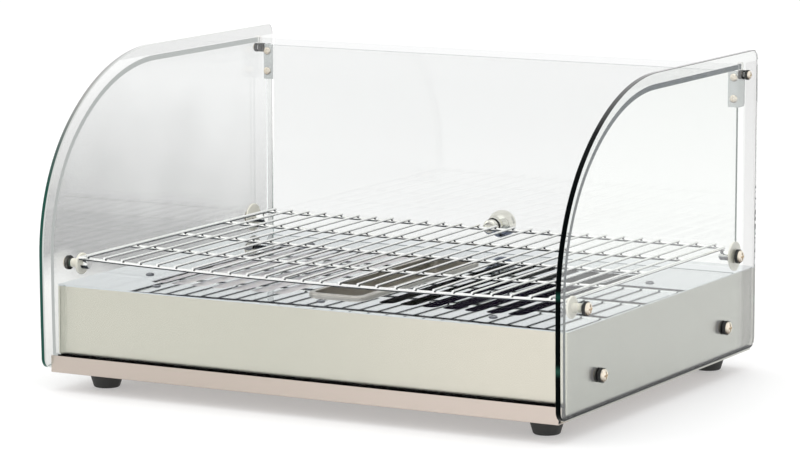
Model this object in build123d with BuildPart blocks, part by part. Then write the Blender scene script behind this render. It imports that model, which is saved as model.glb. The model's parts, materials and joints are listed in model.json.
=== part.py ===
from build123d import *
import os
from math import asin, cos, radians, sin, tan

# Driving sizes of the case, in millimetres; X runs across the front, Y from front to back, Z up
case_width = 530.0
case_depth = 412.0
case_height = 82.0
foot_height = 18.0
sheet = 1.0  # stainless sheet of the case
corner_radius = 5.0  # upright front corners of the case
flange_width = 10.0  # turned-in edges that carry the deck

# Side glasses and the bent front glass
overall_height = 311.0
side_glass_thickness = 5.0
side_glass_gap = 1.0  # thin washer between a side glass and the case
side_glass_rise = 4.0  # its foot above the base of the case
side_glass_rear_inset = 3.0  # from the back of the case
glass_lead = 19.0  # how far the side glasses stand in front of the case
glass_lean = 2.0  # the glass draws back this much from its fullest point to its foot
fullest_height = 128.5  # height of the fullest point of the side outline
lower_bend_angle = 45.0
lower_bend_radius = 171.2
glass_corner_radius = 10.0
glass_arris = 0.5  # ground edge of the side glasses
front_glass_thickness = 5.0
front_glass_offset = 11.0  # outer face of the front glass inside the side outline
front_glass_side_gap = 1.0
front_glass_corner = 5.0
bed_margin = 0.5  # the rubber strip under the front glass is wider by this on each side
bed_end_gap = 2.0

# Front channel of the bottom pan
lip_reach = 9.5
lip_height = 16.0
fit = 0.3  # clearance between sheets that slip into each other
seat_gap = 0.2  # thin packing between a glass and the metal or nylon that is clamped to it
side_flange_height = 12.0

# Deck with its slots, the cut-out for the water pan and its screws
slot_pitch = 22.0
slot_width = 16.0
slot_front_margin = 54.0  # plain deck in front of the slots
slot_rear_margin = 104.0
slot_side_margin = 68.5
slot_pan_margin = 18.0  # plain deck between the slots and the pan
deck_screw_seat = 10.0  # rows of screws in front of and behind the tray
deck_screw_side_seat = 13.0  # screws beside the tray
deck_screw_row_inset = 28.0
deck_screw_side_inset = 44.0
deck_screw_length = 8.0

# Water pan
pan_width = 61.0
pan_end_inset = 4.5  # its ends lie this far inside the ends of the slots
pan_rim = 5.0
pan_depth = 26.0
pan_sheet = 0.8
pan_corner = 14.0
pan_round = 4.0  # between the floor and the walls
pan_rim_height = 2.6
pan_gap = 1.0  # between the pan and the edge of its cut-out

# Heater tray under the deck
tray_side_margin = 8.5  # tray outside the outermost slot
tray_front_margin = 7.0
tray_rear_margin = 10.0
tray_depth = 42.0
tray_flange = 20.0
tray_sheet = 0.8
liner_thickness = 0.6
liner_margin = 2.0
liner_inner_x = 34.0
radiant_gap = 15.0  # between the dark cover and the deck
radiant_sheet = 1.0
radiant_round = 3.0
foil_gap = 2.0  # between the foil cover and the deck
foil_sheet = 0.6
foil_round = 1.5
cover_margin = 2.0  # liner that shows round a cover
cover_notch = 1.0  # air round an element where it leaves its cover

# Heating elements
element_radius = 3.7
element_side_inset = 6.0  # outer legs inside the outer slots
element_height = 8.0  # axis above the tray floor
element_front_gap = 28.0  # to the front wall of the tray
element_rear_gap = 30.0
element_tail = 14.0  # length behind the tray
element_pin_radius = 1.6
element_pin_length = 12.0
comb_inset = 63.0  # comb brackets from the ends of the tray
comb_thickness = 1.5
comb_height = 14.0
comb_foot = 8.5
bushing_radius = 6.0
bushing_thickness = 3.0
bushing_step = 1.5  # flange of the bushing outside its neck

# Feet
foot_radius = 15.5
foot_base_radius = 12.5
foot_side_inset = 33.0
foot_front_inset = 35.0
foot_rear_inset = 25.0
foot_screw_radius = 2.0
foot_recess_radius = 5.0
foot_recess_depth = 10.0
foot_edge = 1.0
foot_fullest = 0.6  # share of its height at which the foot is fullest
foot_screw_spare = 4.0  # screw above the floor of the case
foot_screw_head = 2.5
small_nut_flats = 7.0
small_nut_thickness = 3.0

# Screws through the side glasses
screw_radius = 2.5
screw_head_radius = 6.0
screw_head_height = 3.0
rubber_radius = 6.7
rubber_thickness = 3.0
glass_hole_radius = 3.0
bore_clearance = 0.05
case_screw_front_inset = 63.0
case_screw_rear_inset = 74.5
case_screw_rise = 33.5  # above the base of the case
nut_across_flats = 8.0
nut_thickness = 4.0
screw_end = 1.0  # thread that stands out of a nut
recess_reach = 0.62  # half length of a cross recess, as a share of the radius of its head
recess_width = 0.16
recess_depth = 0.6  # as a share of the height of the head

# Shelf and its four supports
support_front_inset = 30.0
support_rear_inset = 48.0
support_rise = 16.5  # above the deck
collar_radius = 4.25
collar_length = 9.5
disc_radius = 10.25
disc_thickness = 2.5
disc_edge = 0.5
rear_disc_radius = 14.0
rear_disc_thickness = 2.0
rear_disc_edge = 0.5
post_radius = 4.75
post_reach = 7.0  # front post behind its disc
rear_post_reach = 14.0
post_bore_length = 4.0
post_edge = 1.0
shelf_front_inset = 21.5
shelf_rear_inset = 44.0
frame_wire_radius = 1.75
cross_wire_count = 5
cross_wire_radius = 1.7
cross_wire_end = 8.0  # straight end of a cross wire at the side wire
long_wire_radius = 1.15
long_wire_pitch = 19.4
long_wire_side_gap = 9.0  # least distance from the side wires
long_wire_overhang = 2.5
shelf_sag = 4.0  # of the front wire at mid span
weld_rest = 0.02  # running gap between crossing wires

# Door, its hinge brackets, pivots and knob
door_glass_thickness = 4.0
door_glass_inset = 32.5  # its front face from the back of the case
door_side_gap = 7.7  # to the side glasses
door_bottom_gap = 3.0  # to the deck
door_front_gap = 7.5  # to the end of the front glass
door_corner = 4.0
pivot_drop = 22.0  # below the top of the side glasses
pivot_setback = 1.0  # behind the front face of the door glass
door_above_pivot = 3.0
glass_hole_play = 0.5  # round the screws of the door
pivot_screw_radius = 2.0
pivot_head_radius = 4.0
pivot_head_height = 2.4
pivot_washer_radius = 4.7
pivot_washer_thickness = 2.5
pivot_bush_radius = 4.5
bracket_sheet = 1.5
bracket_play = 0.2  # the pivot screw ends this far inside the leg of its bracket
bracket_face_width = 11.0
bracket_depth = 15.0
bracket_above_pivot = 3.5
bracket_length = 35.0
bracket_round = 4.0
bracket_bend = 1.0  # inside radius of the bend
bracket_screw_drops = (27.0, 6.5)  # below the top of the bracket
bracket_screw_inset = 5.0
bracket_screw_end = 0.6
bracket_screw_radius = 1.5
bracket_head_radius = 4.0
bracket_head_height = 1.6
bracket_nut_flats = 5.5
bracket_nut_thickness = 2.4
edge_clearance = 1.2  # door glass to the side legs of its brackets
knob_rise = 20.5  # above the foot of the door glass
knob_ball_radius = 14.0
knob_ball_y = 20.0  # ball centre behind the door glass
knob_stem_radius = 7.0
knob_foot = 2.0  # flange of the stem on the glass
knob_foot_step = 1.5
knob_button_radius = 7.5
knob_button_length = 6.5
knob_screw_radius = 2.0
knob_screw_gap = 1.0  # left free at the end of the threaded bore
knob_hole_radius = 3.0

# Slotted studs that hold the rear end of the front glass
stud_radius = 4.25
stud_length = 4.5
stud_setback = 2.5  # behind the end of the front glass
stud_slot_play = 0.5
stud_edge = 0.6

# Controls on the back
control_rise = 42.0  # above the base of the case
dial_side_inset = 115.0
lamp_offset = 38.0  # from the dial
switch_offset = 32.0  # from the lamp
gland_side_inset = 75.0
gland_rise = 27.0
control_reach = 20.0  # the dial stands this far behind the case
dial_gap = 1.0
dial_skirt_radius = 19.0
dial_skirt_thickness = 4.0
dial_skirt_round = 1.5
dial_grip_radius = 14.5
dial_grip_taper = 2.0
dial_grip_edge = 0.8
dial_flute_count = 12
dial_flute_radius = 2.2
dial_flute_offset = 1.2  # flute centre outside the grip
dial_shaft_radius = 3.0
dial_shaft_flat = 1.0
dial_shaft_inside = 17.5  # shaft inside the thermostat
dial_bore_depth = 13.0
thermostat_width = 40.0
thermostat_height = 34.0
thermostat_depth = 30.0
thermostat_corner = 3.0
thermostat_bore = 18.0
thermostat_hole_radius = 5.0
spade_width = 6.3
spade_thickness = 0.8
spade_length = 8.0
spade_pitch = 16.0
lamp_radius = 5.0
lamp_bezel_radius = 6.5
lamp_bezel_thickness = 2.0
lamp_edge = 0.8
lamp_lens_radius = 4.4
lamp_lens_height = 5.2
lamp_body_length = 22.0
lamp_tail_radius = 4.0
lamp_play = 0.1
lamp_lead_offset = 2.0
switch_width = 24.0
switch_height = 32.0
switch_bezel = 2.0
switch_corner = 1.5
switch_body_width = 21.0
switch_body_height = 28.0
switch_body_depth = 22.0
switch_pocket_depth = 12.0
switch_tab_pitch = 9.0
rocker_width = 16.0
rocker_height = 23.0
rocker_thickness = 11.0
rocker_crest = 3.2  # ends of the rocker above its axis
rocker_hollow = 2.0  # middle of the rocker above its axis
rocker_shoulder = 0.25  # share of its thickness left at the ends
rocker_tilt = 8.0
rocker_pocket_gap = 1.4
rocker_axis_drop = 0.5  # inside the back of the case
rocker_pin_radius = 1.5
rocker_pin_length = 1.4
gland_bore_radius = 3.6
gland_body_radius = 7.0
gland_body_length = 8.0
gland_flange = 4.0
gland_flange_thickness = 3.0
gland_barrel = 2.0
gland_nut_flats = 19.0
gland_nut_thickness = 4.0
gland_length = 14.0
gland_edge = 3.0
vent_count = 9
vent_pitch = 12.0
vent_width = 4.0
vent_length = 34.0
vent_offset = 130.0  # from the gland
block_length = 62.0
block_width = 20.0
block_height = 17.0
block_inset = 37.0  # its middle from the back of the case
block_side_inset = 145.0
block_corner = 2.0
block_ports = 4
block_pitch = 12.0
block_well_radius = 3.0
block_well_depth = 6.0
block_screw_radius = 1.5
block_screw_length = 2.5
block_screw_head = 2.6
block_screw_head_height = 1.6
earth_stud_offset = 60.0  # beside the block
earth_stud_radius = 2.5
earth_stud_height = 14.0
earth_lug_radius = 5.0
earth_lug_thickness = 2.5
wire_radius = 1.3
wire_bend = 4.0
wire_reach = 12.5  # straight wire between a terminal and its crossing stretch

# Screws of the sheet metal
deck_screw_radius = 2.0
deck_head_radius = 4.2
deck_head_height = 1.6
deck_hole_radius = 2.3
panel_screw_inset = 14.0  # from the base of the case and from the deck
panel_screw_length = 6.0

# Places worked out from the sizes above
front = (glass_lead - case_depth - control_reach) / 2
back = front + case_depth
half_case = case_width / 2
base_z = foot_height
deck_z = base_z + case_height
deck_under = deck_z - sheet
side_glass_bottom = base_z + side_glass_rise
glass_in = half_case + side_glass_gap
glass_out = glass_in + side_glass_thickness
fullest_y = front - glass_lead
lower_rise = lower_bend_radius * sin(radians(lower_bend_angle))
lower_run = lower_bend_radius * (1 - cos(radians(lower_bend_angle)))
upper_bend_radius = (overall_height - fullest_height - lower_rise) / (1 - sin(radians(lower_bend_angle)))
floor_top = base_z + sheet
slot_outer_x = half_case - slot_side_margin
slot_inner_x = pan_width / 2 + slot_pan_margin
slot_count = int((slot_outer_x - slot_inner_x + slot_pitch - slot_width) / slot_pitch)
slot_group_half = (slot_count - 1) * slot_pitch / 2
slot_group_x = slot_outer_x - slot_width / 2 - slot_group_half
slot_length = case_depth - slot_front_margin - slot_rear_margin
slot_center_y = front + slot_front_margin + slot_length / 2
pan_length = slot_length - 2 * pan_end_inset
tray_half_width = slot_outer_x + tray_side_margin
tray_front = front + slot_front_margin - tray_front_margin
tray_rear = back - slot_rear_margin + tray_rear_margin
element_pitch = 2 * (slot_group_half - element_side_inset) / 3
case_screw_y = (front + case_screw_front_inset, back - case_screw_rear_inset)
case_screw_z = base_z + case_screw_rise
panel_screw_z = (base_z + panel_screw_inset, deck_z - panel_screw_inset)
control_z = base_z + control_rise
gland_z = base_z + gland_rise
dial_x = dial_side_inset - half_case
lamp_x = dial_x + lamp_offset
switch_x = lamp_x + switch_offset
gland_x = half_case - gland_side_inset
vent_x = gland_x - vent_offset
block_x = half_case - block_side_inset
feet_at = [(x, y) for x in (foot_side_inset - half_case, half_case - foot_side_inset)
           for y in (front + foot_front_inset, back - foot_rear_inset)]
support_front_y = front + support_front_inset
support_rear_y = back - support_rear_inset
support_z = deck_z + support_rise
door_front = back - door_glass_inset
door_back = door_front + door_glass_thickness
door_half_width = glass_in - door_side_gap
door_bottom = deck_z + door_bottom_gap
knob_z = door_bottom + knob_rise
front_end = door_front - door_front_gap
pivot = (door_front + pivot_setback, overall_height - pivot_drop)
bracket_top = pivot[1] + bracket_above_pivot
bracket_bottom = bracket_top - bracket_length
bracket_screw_z = [bracket_top - drop for drop in bracket_screw_drops]

sides = (("left", -1), ("right", 1))
os.makedirs("parts", exist_ok=True)


def turned(origin, direction, outline, radial=(0, 0, 1)):
    """Turn an outline of (distance along the axis, radius) points about an axis."""
    across = Vector(direction).cross(Vector(radial))
    section = Plane(origin=origin, x_dir=direction, z_dir=across)
    with BuildSketch(section) as profile:
        with BuildLine():
            Polyline(*outline, close=True)
        make_face()
    revolve(profile.sketch, axis=Axis(origin, direction))


def screw(origin, direction, shank, length, head, height, radial=(0, 0, 1)):
    """A domed cross-head screw whose head stands on origin and whose shank runs the other way."""
    outline = [(-length, 0), (-length, shank), (0, shank), (0, head), (height * 0.45, head * 0.95),
               (height * 0.85, head * 0.7), (height, head * 0.35), (height, 0)]
    turned(origin, direction, outline, radial)
    with BuildSketch(Plane(origin=origin, x_dir=radial, z_dir=direction).offset(height)) as cross:
        Rectangle(2 * recess_reach * head, 2 * recess_width * head)
        Rectangle(2 * recess_width * head, 2 * recess_reach * head)
    extrude(cross.sketch, amount=-recess_depth * height, mode=Mode.SUBTRACT)


def washer(origin, direction, inner, outer, thickness):
    """A flat ring that starts at origin and grows along direction."""
    turned(origin, direction, [(0, inner), (0, outer), (thickness, outer), (thickness, inner)])


def hex_nut(origin, direction, flats, bore, thickness):
    """A hexagon nut that starts at origin and grows along direction."""
    with BuildSketch(Plane(origin=origin, z_dir=direction)) as outline:
        RegularPolygon(radius=flats / 2, side_count=6, major_radius=False)
        Circle(bore, mode=Mode.SUBTRACT)
    extrude(outline.sketch, amount=thickness)


def glass_outline(inset):
    """Points of the side outline drawn in by inset: foot, fullest point, bend joint, bend end."""
    foot = (fullest_y + glass_lean + inset, side_glass_bottom)
    fullest = (fullest_y + inset, fullest_height)
    lower = lower_bend_radius - inset
    upper = upper_bend_radius - inset
    turn = radians(lower_bend_angle)
    joint = (fullest[0] + lower * (1 - cos(turn)), fullest[1] + lower * sin(turn))
    end = (joint[0] + upper * cos(turn), joint[1] + upper * (1 - sin(turn)))
    return foot, fullest, joint, end


def save(builder, name):
    builder.part.label = name
    export_step(builder.part, f"parts/{name}.step")


# Case: bottom pan with the channel that the front glass stands in
with BuildPart() as bottom_pan:
    with BuildSketch(Plane.YZ):
        with Locations((front - lip_reach, base_z)):
            Rectangle(lip_reach + flange_width, sheet, align=(Align.MIN, Align.MIN))
            Rectangle(sheet, lip_height, align=(Align.MIN, Align.MIN))
    extrude(amount=half_case, both=True)
    fold = bottom_pan.edges().filter_by(Axis.X).group_by(Axis.Z)[0].sort_by(Axis.Y)[0]
    fillet(fold, radius=sheet * 0.9)
    inside = case_width - 2 * (sheet + fit)
    floor_length = case_depth - 2 * sheet - 2 * fit
    with BuildSketch(Plane.XY.offset(base_z)):
        with Locations((0, front + sheet + fit)):
            Rectangle(inside, floor_length, align=(Align.CENTER, Align.MIN))
    extrude(amount=sheet)
    with BuildSketch(Plane.XY.offset(floor_top)):
        for sign in (-1, 1):
            with Locations((sign * (inside - sheet) / 2, front + case_depth / 2)):
                Rectangle(sheet, case_depth - 2 * corner_radius - 4 * flange_width)
        with Locations((0, front + sheet + fit + floor_length - sheet / 2)):
            Rectangle(inside - 4 * flange_width, sheet)
    extrude(amount=side_flange_height)
    with BuildSketch(Plane.XY.offset(base_z)):
        with Locations(*feet_at):
            Circle(foot_screw_radius + bore_clearance)
    extrude(amount=sheet, mode=Mode.SUBTRACT)
save(bottom_pan, "bottom_pan")

# Case: front and side panels folded from one sheet, with turned-in edges at the top and back
with BuildPart() as case_wrap:
    with BuildSketch(Plane.XY.offset(base_z)):
        with Locations((0, front + case_depth / 2)):
            outer = Rectangle(case_width, case_depth)
        fillet(outer.vertices().group_by(Axis.Y)[0], radius=corner_radius)
    extrude(amount=case_height - sheet)
    with BuildSketch(Plane.XY.offset(base_z)):
        with Locations((0, front + sheet)):
            inner = Rectangle(case_width - 2 * sheet, case_depth, align=(Align.CENTER, Align.MIN))
        fillet(inner.vertices().group_by(Axis.Y)[0], radius=corner_radius - sheet)
    extrude(amount=case_height - 2 * sheet, mode=Mode.SUBTRACT)
    with BuildSketch(Plane.XY.offset(deck_under - sheet)):
        with Locations((0, front + sheet + flange_width)):
            Rectangle(case_width - 2 * (sheet + flange_width), case_depth, align=(Align.CENTER, Align.MIN))
    extrude(amount=sheet, mode=Mode.SUBTRACT)
    with BuildSketch(Plane.XY.offset(floor_top + fit)):
        for sign in (-1, 1):
            with Locations((sign * (half_case - sheet - flange_width / 2), back - 1.5 * sheet)):
                Rectangle(flange_width, sheet)
    extrude(amount=case_height - 3 * sheet - fit)
    with BuildSketch(Plane.XY.offset(base_z)):
        with Locations((0, front)):
            Rectangle(case_width, 2 * (flange_width + fit))
    extrude(amount=sheet, mode=Mode.SUBTRACT)
    with BuildSketch(Plane.XY.offset(deck_under - sheet)):
        with Locations((0, back)):
            Rectangle(case_width - 2 * sheet, 2 * (sheet + fit))
    extrude(amount=sheet, mode=Mode.SUBTRACT)
    for sign in (-1, 1):
        for y in case_screw_y:
            with BuildSketch(Plane(origin=(sign * half_case, y, case_screw_z), z_dir=(sign, 0, 0))):
                Circle(screw_radius + bore_clearance)
            extrude(amount=-sheet, mode=Mode.SUBTRACT)
    for sign in (-1, 1):
        for z in panel_screw_z:
            with BuildSketch(Plane.XZ.offset(-(back - 2 * sheet))):
                with Locations((sign * (half_case - sheet - flange_width / 2), z)):
                    Circle(deck_screw_radius + bore_clearance)
            extrude(amount=-sheet, mode=Mode.SUBTRACT)
save(case_wrap, "case_wrap")

# Case: rear panel with the holes for the controls, the cord entry and the vents
rear_half = half_case - sheet - fit
with BuildPart() as rear_panel:
    with BuildSketch(Plane.XZ.offset(-back)):
        with Locations((0, (floor_top + deck_under) / 2)):
            Rectangle(2 * rear_half, deck_under - floor_top - 2 * fit)
        with Locations((dial_x, control_z)):
            Circle(thermostat_hole_radius, mode=Mode.SUBTRACT)
        with Locations((lamp_x, control_z)):
            Circle(lamp_radius, mode=Mode.SUBTRACT)
        with Locations((switch_x, control_z)):
            Rectangle(switch_body_width + fit, switch_body_height + fit, mode=Mode.SUBTRACT)
        with Locations((gland_x, gland_z)):
            Circle(gland_body_radius + bore_clearance, mode=Mode.SUBTRACT)
        with Locations((vent_x, control_z)):
            with GridLocations(vent_pitch, 1, vent_count, 1):
                SlotOverall(vent_length, vent_width, rotation=90, mode=Mode.SUBTRACT)
        with Locations(*[(sign * (half_case - sheet - flange_width / 2), z)
                         for sign in (-1, 1) for z in panel_screw_z]):
            Circle(deck_screw_radius + bore_clearance, mode=Mode.SUBTRACT)
    extrude(amount=sheet)
save(rear_panel, "rear_panel")

# Deck: slotted top sheet with the cut-out of the water pan
deck_screw_row_x = tray_half_width - deck_screw_row_inset
deck_screws_at = [(x, y) for x in (-deck_screw_row_x, 0, deck_screw_row_x)
                  for y in (tray_front - deck_screw_seat, tray_rear + deck_screw_seat)]
deck_screws_at += [(sign * (tray_half_width + deck_screw_side_seat), y) for sign in (-1, 1)
                   for y in (tray_front + deck_screw_side_inset, tray_rear - deck_screw_side_inset)]
pan_center = (0, slot_center_y)
with BuildPart() as deck_plate:
    with BuildSketch(Plane.XY.offset(deck_under)):
        with Locations((0, front + case_depth / 2)):
            blank = Rectangle(case_width, case_depth)
        fillet(blank.vertices().group_by(Axis.Y)[0], radius=corner_radius)
        for sign in (-1, 1):
            with Locations((sign * slot_group_x, slot_center_y)):
                with GridLocations(slot_pitch, 1, slot_count, 1):
                    SlotOverall(slot_length, slot_width, rotation=90, mode=Mode.SUBTRACT)
        with Locations(pan_center):
            RectangleRounded(pan_width - 2 * pan_rim + 2 * pan_gap, pan_length - 2 * pan_rim + 2 * pan_gap,
                             pan_corner - pan_rim + pan_gap, mode=Mode.SUBTRACT)
        with Locations(*deck_screws_at):
            Circle(deck_hole_radius, mode=Mode.SUBTRACT)
    extrude(amount=sheet)
save(deck_plate, "deck_plate")

# Water pan: a pressed tray that hangs by its rim in the deck and lifts out
with BuildPart() as water_pan:
    with BuildSketch(Plane.XY.offset(deck_z + pan_rim_height - pan_depth)):
        with Locations(pan_center):
            RectangleRounded(pan_width - 2 * pan_rim, pan_length - 2 * pan_rim, pan_corner - pan_rim)
    extrude(amount=pan_depth)
    with BuildSketch(Plane.XY.offset(deck_z)):
        with Locations(pan_center):
            RectangleRounded(pan_width, pan_length, pan_corner)
    extrude(amount=pan_rim_height)
    rim_edges = water_pan.edges().group_by(Axis.Z)[-1]
    fillet(rim_edges, radius=pan_rim_height * 0.6)
    with BuildSketch(Plane.XY.offset(deck_z)):
        with Locations(pan_center):
            RectangleRounded(pan_width - 2 * pan_sheet, pan_length - 2 * pan_sheet, pan_corner - pan_sheet)
            RectangleRounded(pan_width - 2 * pan_rim, pan_length - 2 * pan_rim, pan_corner - pan_rim,
                             mode=Mode.SUBTRACT)
    extrude(amount=pan_rim_height - pan_sheet, mode=Mode.SUBTRACT)
    with BuildSketch(Plane.XY.offset(deck_z + pan_rim_height - pan_depth + pan_sheet)):
        with Locations(pan_center):
            RectangleRounded(pan_width - 2 * (pan_rim + pan_sheet), pan_length - 2 * (pan_rim + pan_sheet),
                             pan_corner - pan_rim - pan_sheet)
    extrude(amount=pan_depth, mode=Mode.SUBTRACT)
    levels = water_pan.edges().group_by(Axis.Z)
    fillet(levels[1], radius=pan_round - pan_sheet)
    fillet(water_pan.edges().group_by(Axis.Z)[0], radius=pan_round)
save(water_pan, "water_pan")

# Heater tray that hangs under the deck
tray_floor = deck_under - tray_depth
tray_length = tray_rear - tray_front
tray_center = (0, (tray_front + tray_rear) / 2)
leg_offsets = [(i - 1.5) * element_pitch for i in range(4)]
element_z = tray_floor + tray_sheet + liner_thickness + element_height
with BuildPart() as heater_tray:
    with BuildSketch(Plane.XY.offset(tray_floor)):
        with Locations(tray_center):
            Rectangle(2 * tray_half_width, tray_length)
    extrude(amount=tray_depth)
    with BuildSketch(Plane.XY.offset(deck_under - tray_sheet)):
        with Locations(tray_center):
            Rectangle(2 * (tray_half_width + tray_flange), tray_length + 2 * tray_flange)
    extrude(amount=tray_sheet)
    with BuildSketch(Plane.XY.offset(tray_floor + tray_sheet)):
        with Locations(tray_center):
            Rectangle(2 * (tray_half_width - tray_sheet), tray_length - 2 * tray_sheet)
    extrude(amount=tray_depth, mode=Mode.SUBTRACT)
    with BuildSketch(Plane.XY.offset(deck_under - tray_sheet)):
        with Locations(*deck_screws_at):
            Circle(deck_hole_radius)
    extrude(amount=tray_sheet, mode=Mode.SUBTRACT)
    with BuildSketch(Plane.XZ.offset(-tray_rear)):
        for sign in (-1, 1):
            for leg in (leg_offsets[0], leg_offsets[-1]):
                with Locations((sign * slot_group_x + leg, element_z)):
                    Circle(bushing_radius - bushing_step + bore_clearance)
    extrude(amount=tray_sheet, mode=Mode.SUBTRACT)
save(heater_tray, "heater_tray")

# Bright foil on the left half of the tray floor and its dark twin on the right
liner_width = tray_half_width - tray_sheet - liner_margin - liner_inner_x
for side, sign in sides:
    with BuildPart() as tray_liner:
        with BuildSketch(Plane.XY.offset(tray_floor + tray_sheet)):
            with Locations((sign * (liner_inner_x + liner_width / 2), tray_center[1])):
                Rectangle(liner_width, tray_length - 2 * (tray_sheet + liner_margin))
        extrude(amount=liner_thickness)
    save(tray_liner, f"tray_liner_{side}")

# Covers over the elements: foil close under the left slots, dark enamel lower down on the right
liner_top = tray_floor + tray_sheet + liner_thickness
cover_width = liner_width - 2 * cover_margin
cover_length = tray_length - 2 * (tray_sheet + liner_margin + cover_margin)
covers = (("foil_cover", -1, foil_gap, foil_sheet, foil_round),
          ("radiant_cover", 1, radiant_gap, radiant_sheet, radiant_round))
for name, sign, gap, skin, round_over in covers:
    cover_center = (sign * (liner_inner_x + liner_width / 2), tray_center[1])
    cover_height = deck_under - gap - liner_top
    with BuildPart() as cover:
        with BuildSketch(Plane.XY.offset(liner_top)):
            with Locations(cover_center):
                Rectangle(cover_width, cover_length)
        extrude(amount=cover_height)
        top_edges = cover.edges().group_by(Axis.Z)[-1]
        fillet(top_edges, radius=round_over)
        with BuildSketch(Plane.XY.offset(liner_top)):
            with Locations(cover_center):
                Rectangle(cover_width - 2 * skin, cover_length - 2 * skin)
        extrude(amount=cover_height - skin, mode=Mode.SUBTRACT)
        with BuildSketch(Plane.XZ.offset(-(cover_center[1] + cover_length / 2))):
            for leg in (leg_offsets[0], leg_offsets[-1]):
                with Locations((sign * slot_group_x + leg, element_z)):
                    Rectangle(2 * (element_radius + cover_notch), 2 * (element_z - liner_top))
        extrude(amount=skin, mode=Mode.SUBTRACT)
    save(cover, name)

# Tubular heating elements bent into four legs
leg_front = tray_front + element_front_gap
turn_radius = element_pitch / 2
leg_rear = tray_rear - element_rear_gap
tail_end = tray_rear + element_tail
for side, sign in sides:
    x0, x1, x2, x3 = [sign * slot_group_x + leg for leg in leg_offsets]
    with BuildPart() as element:
        with BuildLine(Plane.XY.offset(element_z)) as route:
            near = leg_front + turn_radius
            far = leg_rear - turn_radius
            Line((x0, tail_end), (x0, near))
            ThreePointArc((x0, near), ((x0 + x1) / 2, leg_front), (x1, near))
            Line((x1, near), (x1, far))
            ThreePointArc((x1, far), ((x1 + x2) / 2, leg_rear), (x2, far))
            Line((x2, far), (x2, near))
            ThreePointArc((x2, near), ((x2 + x3) / 2, leg_front), (x3, near))
            Line((x3, near), (x3, tail_end))
        with BuildSketch(Plane(origin=(x0, tail_end, element_z), z_dir=(0, -1, 0))):
            Circle(element_radius)
        sweep(path=route.line)
        for x in (x0, x3):
            turned((x, tail_end, element_z), (0, 1, 0),
                   [(0, 0), (0, element_pin_radius), (element_pin_length, element_pin_radius),
                    (element_pin_length, 0)])
    save(element, f"heating_element_{side}")

# Ceramic bushings where the elements leave the tray
with BuildPart() as element_bushings:
    for sign in (-1, 1):
        for leg in (leg_offsets[0], leg_offsets[-1]):
            inner = element_radius + bore_clearance
            neck = bushing_radius - bushing_step
            turned((sign * slot_group_x + leg, tray_rear, element_z), (0, 1, 0),
                   [(-tray_sheet, inner), (-tray_sheet, neck), (0, neck), (0, bushing_radius),
                    (bushing_thickness, bushing_radius), (bushing_thickness, inner)])
save(element_bushings, "element_bushings")

# Comb brackets that carry the elements
comb_half = 1.5 * element_pitch + 2 * element_radius
with BuildPart() as element_brackets:
    for sign in (-1, 1):
        for y in (tray_front + comb_inset, tray_rear - comb_inset):
            with BuildSketch(Plane.XZ.offset(-y)):
                with Locations((sign * slot_group_x, liner_top)):
                    Rectangle(2 * comb_half, comb_height, align=(Align.CENTER, Align.MIN))
                for leg in leg_offsets:
                    with Locations((sign * slot_group_x + leg, element_z)):
                        Circle(element_radius + bore_clearance, mode=Mode.SUBTRACT)
            extrude(amount=comb_thickness)
            with BuildSketch(Plane.XY.offset(liner_top)):
                with Locations((sign * slot_group_x, y)):
                    Rectangle(2 * comb_half, comb_foot, align=(Align.CENTER, Align.MIN))
            extrude(amount=comb_thickness)
save(element_brackets, "element_brackets")

# Screws and nuts that hold the tray under the deck
with BuildPart() as deck_screws:
    for x, y in deck_screws_at:
        screw((x, y, deck_z), (0, 0, 1), deck_screw_radius, deck_screw_length, deck_head_radius,
              deck_head_height, (1, 0, 0))
save(deck_screws, "deck_screws")
with BuildPart() as deck_nuts:
    for x, y in deck_screws_at:
        hex_nut((x, y, deck_under - tray_sheet), (0, 0, -1), small_nut_flats,
                deck_screw_radius + bore_clearance, small_nut_thickness)
save(deck_nuts, "deck_nuts")
with BuildPart() as panel_screws:
    for sign in (-1, 1):
        for z in panel_screw_z:
            screw((sign * (half_case - sheet - flange_width / 2), back, z), (0, 1, 0), deck_screw_radius,
                  panel_screw_length, deck_head_radius, deck_head_height)
save(panel_screws, "panel_screws")

# Rubber feet and their screws
with BuildPart() as feet:
    for x, y in feet_at:
        turned((x, y, 0), (0, 0, 1),
               [(0, foot_recess_radius), (0, foot_base_radius - foot_edge), (foot_edge, foot_base_radius),
                (foot_height * foot_fullest, foot_radius), (foot_height - foot_edge, foot_radius),
                (foot_height, foot_radius - foot_edge),
                (foot_height, foot_screw_radius + bore_clearance),
                (foot_recess_depth, foot_screw_radius + bore_clearance),
                (foot_recess_depth, foot_recess_radius)], (1, 0, 0))
save(feet, "feet")
with BuildPart() as foot_screws:
    for x, y in feet_at:
        screw((x, y, foot_recess_depth), (0, 0, -1), foot_screw_radius,
              foot_height - foot_recess_depth + sheet + foot_screw_spare, foot_recess_radius - foot_edge,
              foot_screw_head, (1, 0, 0))
save(foot_screws, "foot_screws")
with BuildPart() as foot_nuts:
    for x, y in feet_at:
        hex_nut((x, y, floor_top), (0, 0, 1), small_nut_flats, foot_screw_radius + bore_clearance,
                small_nut_thickness)
save(foot_nuts, "foot_nuts")

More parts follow.
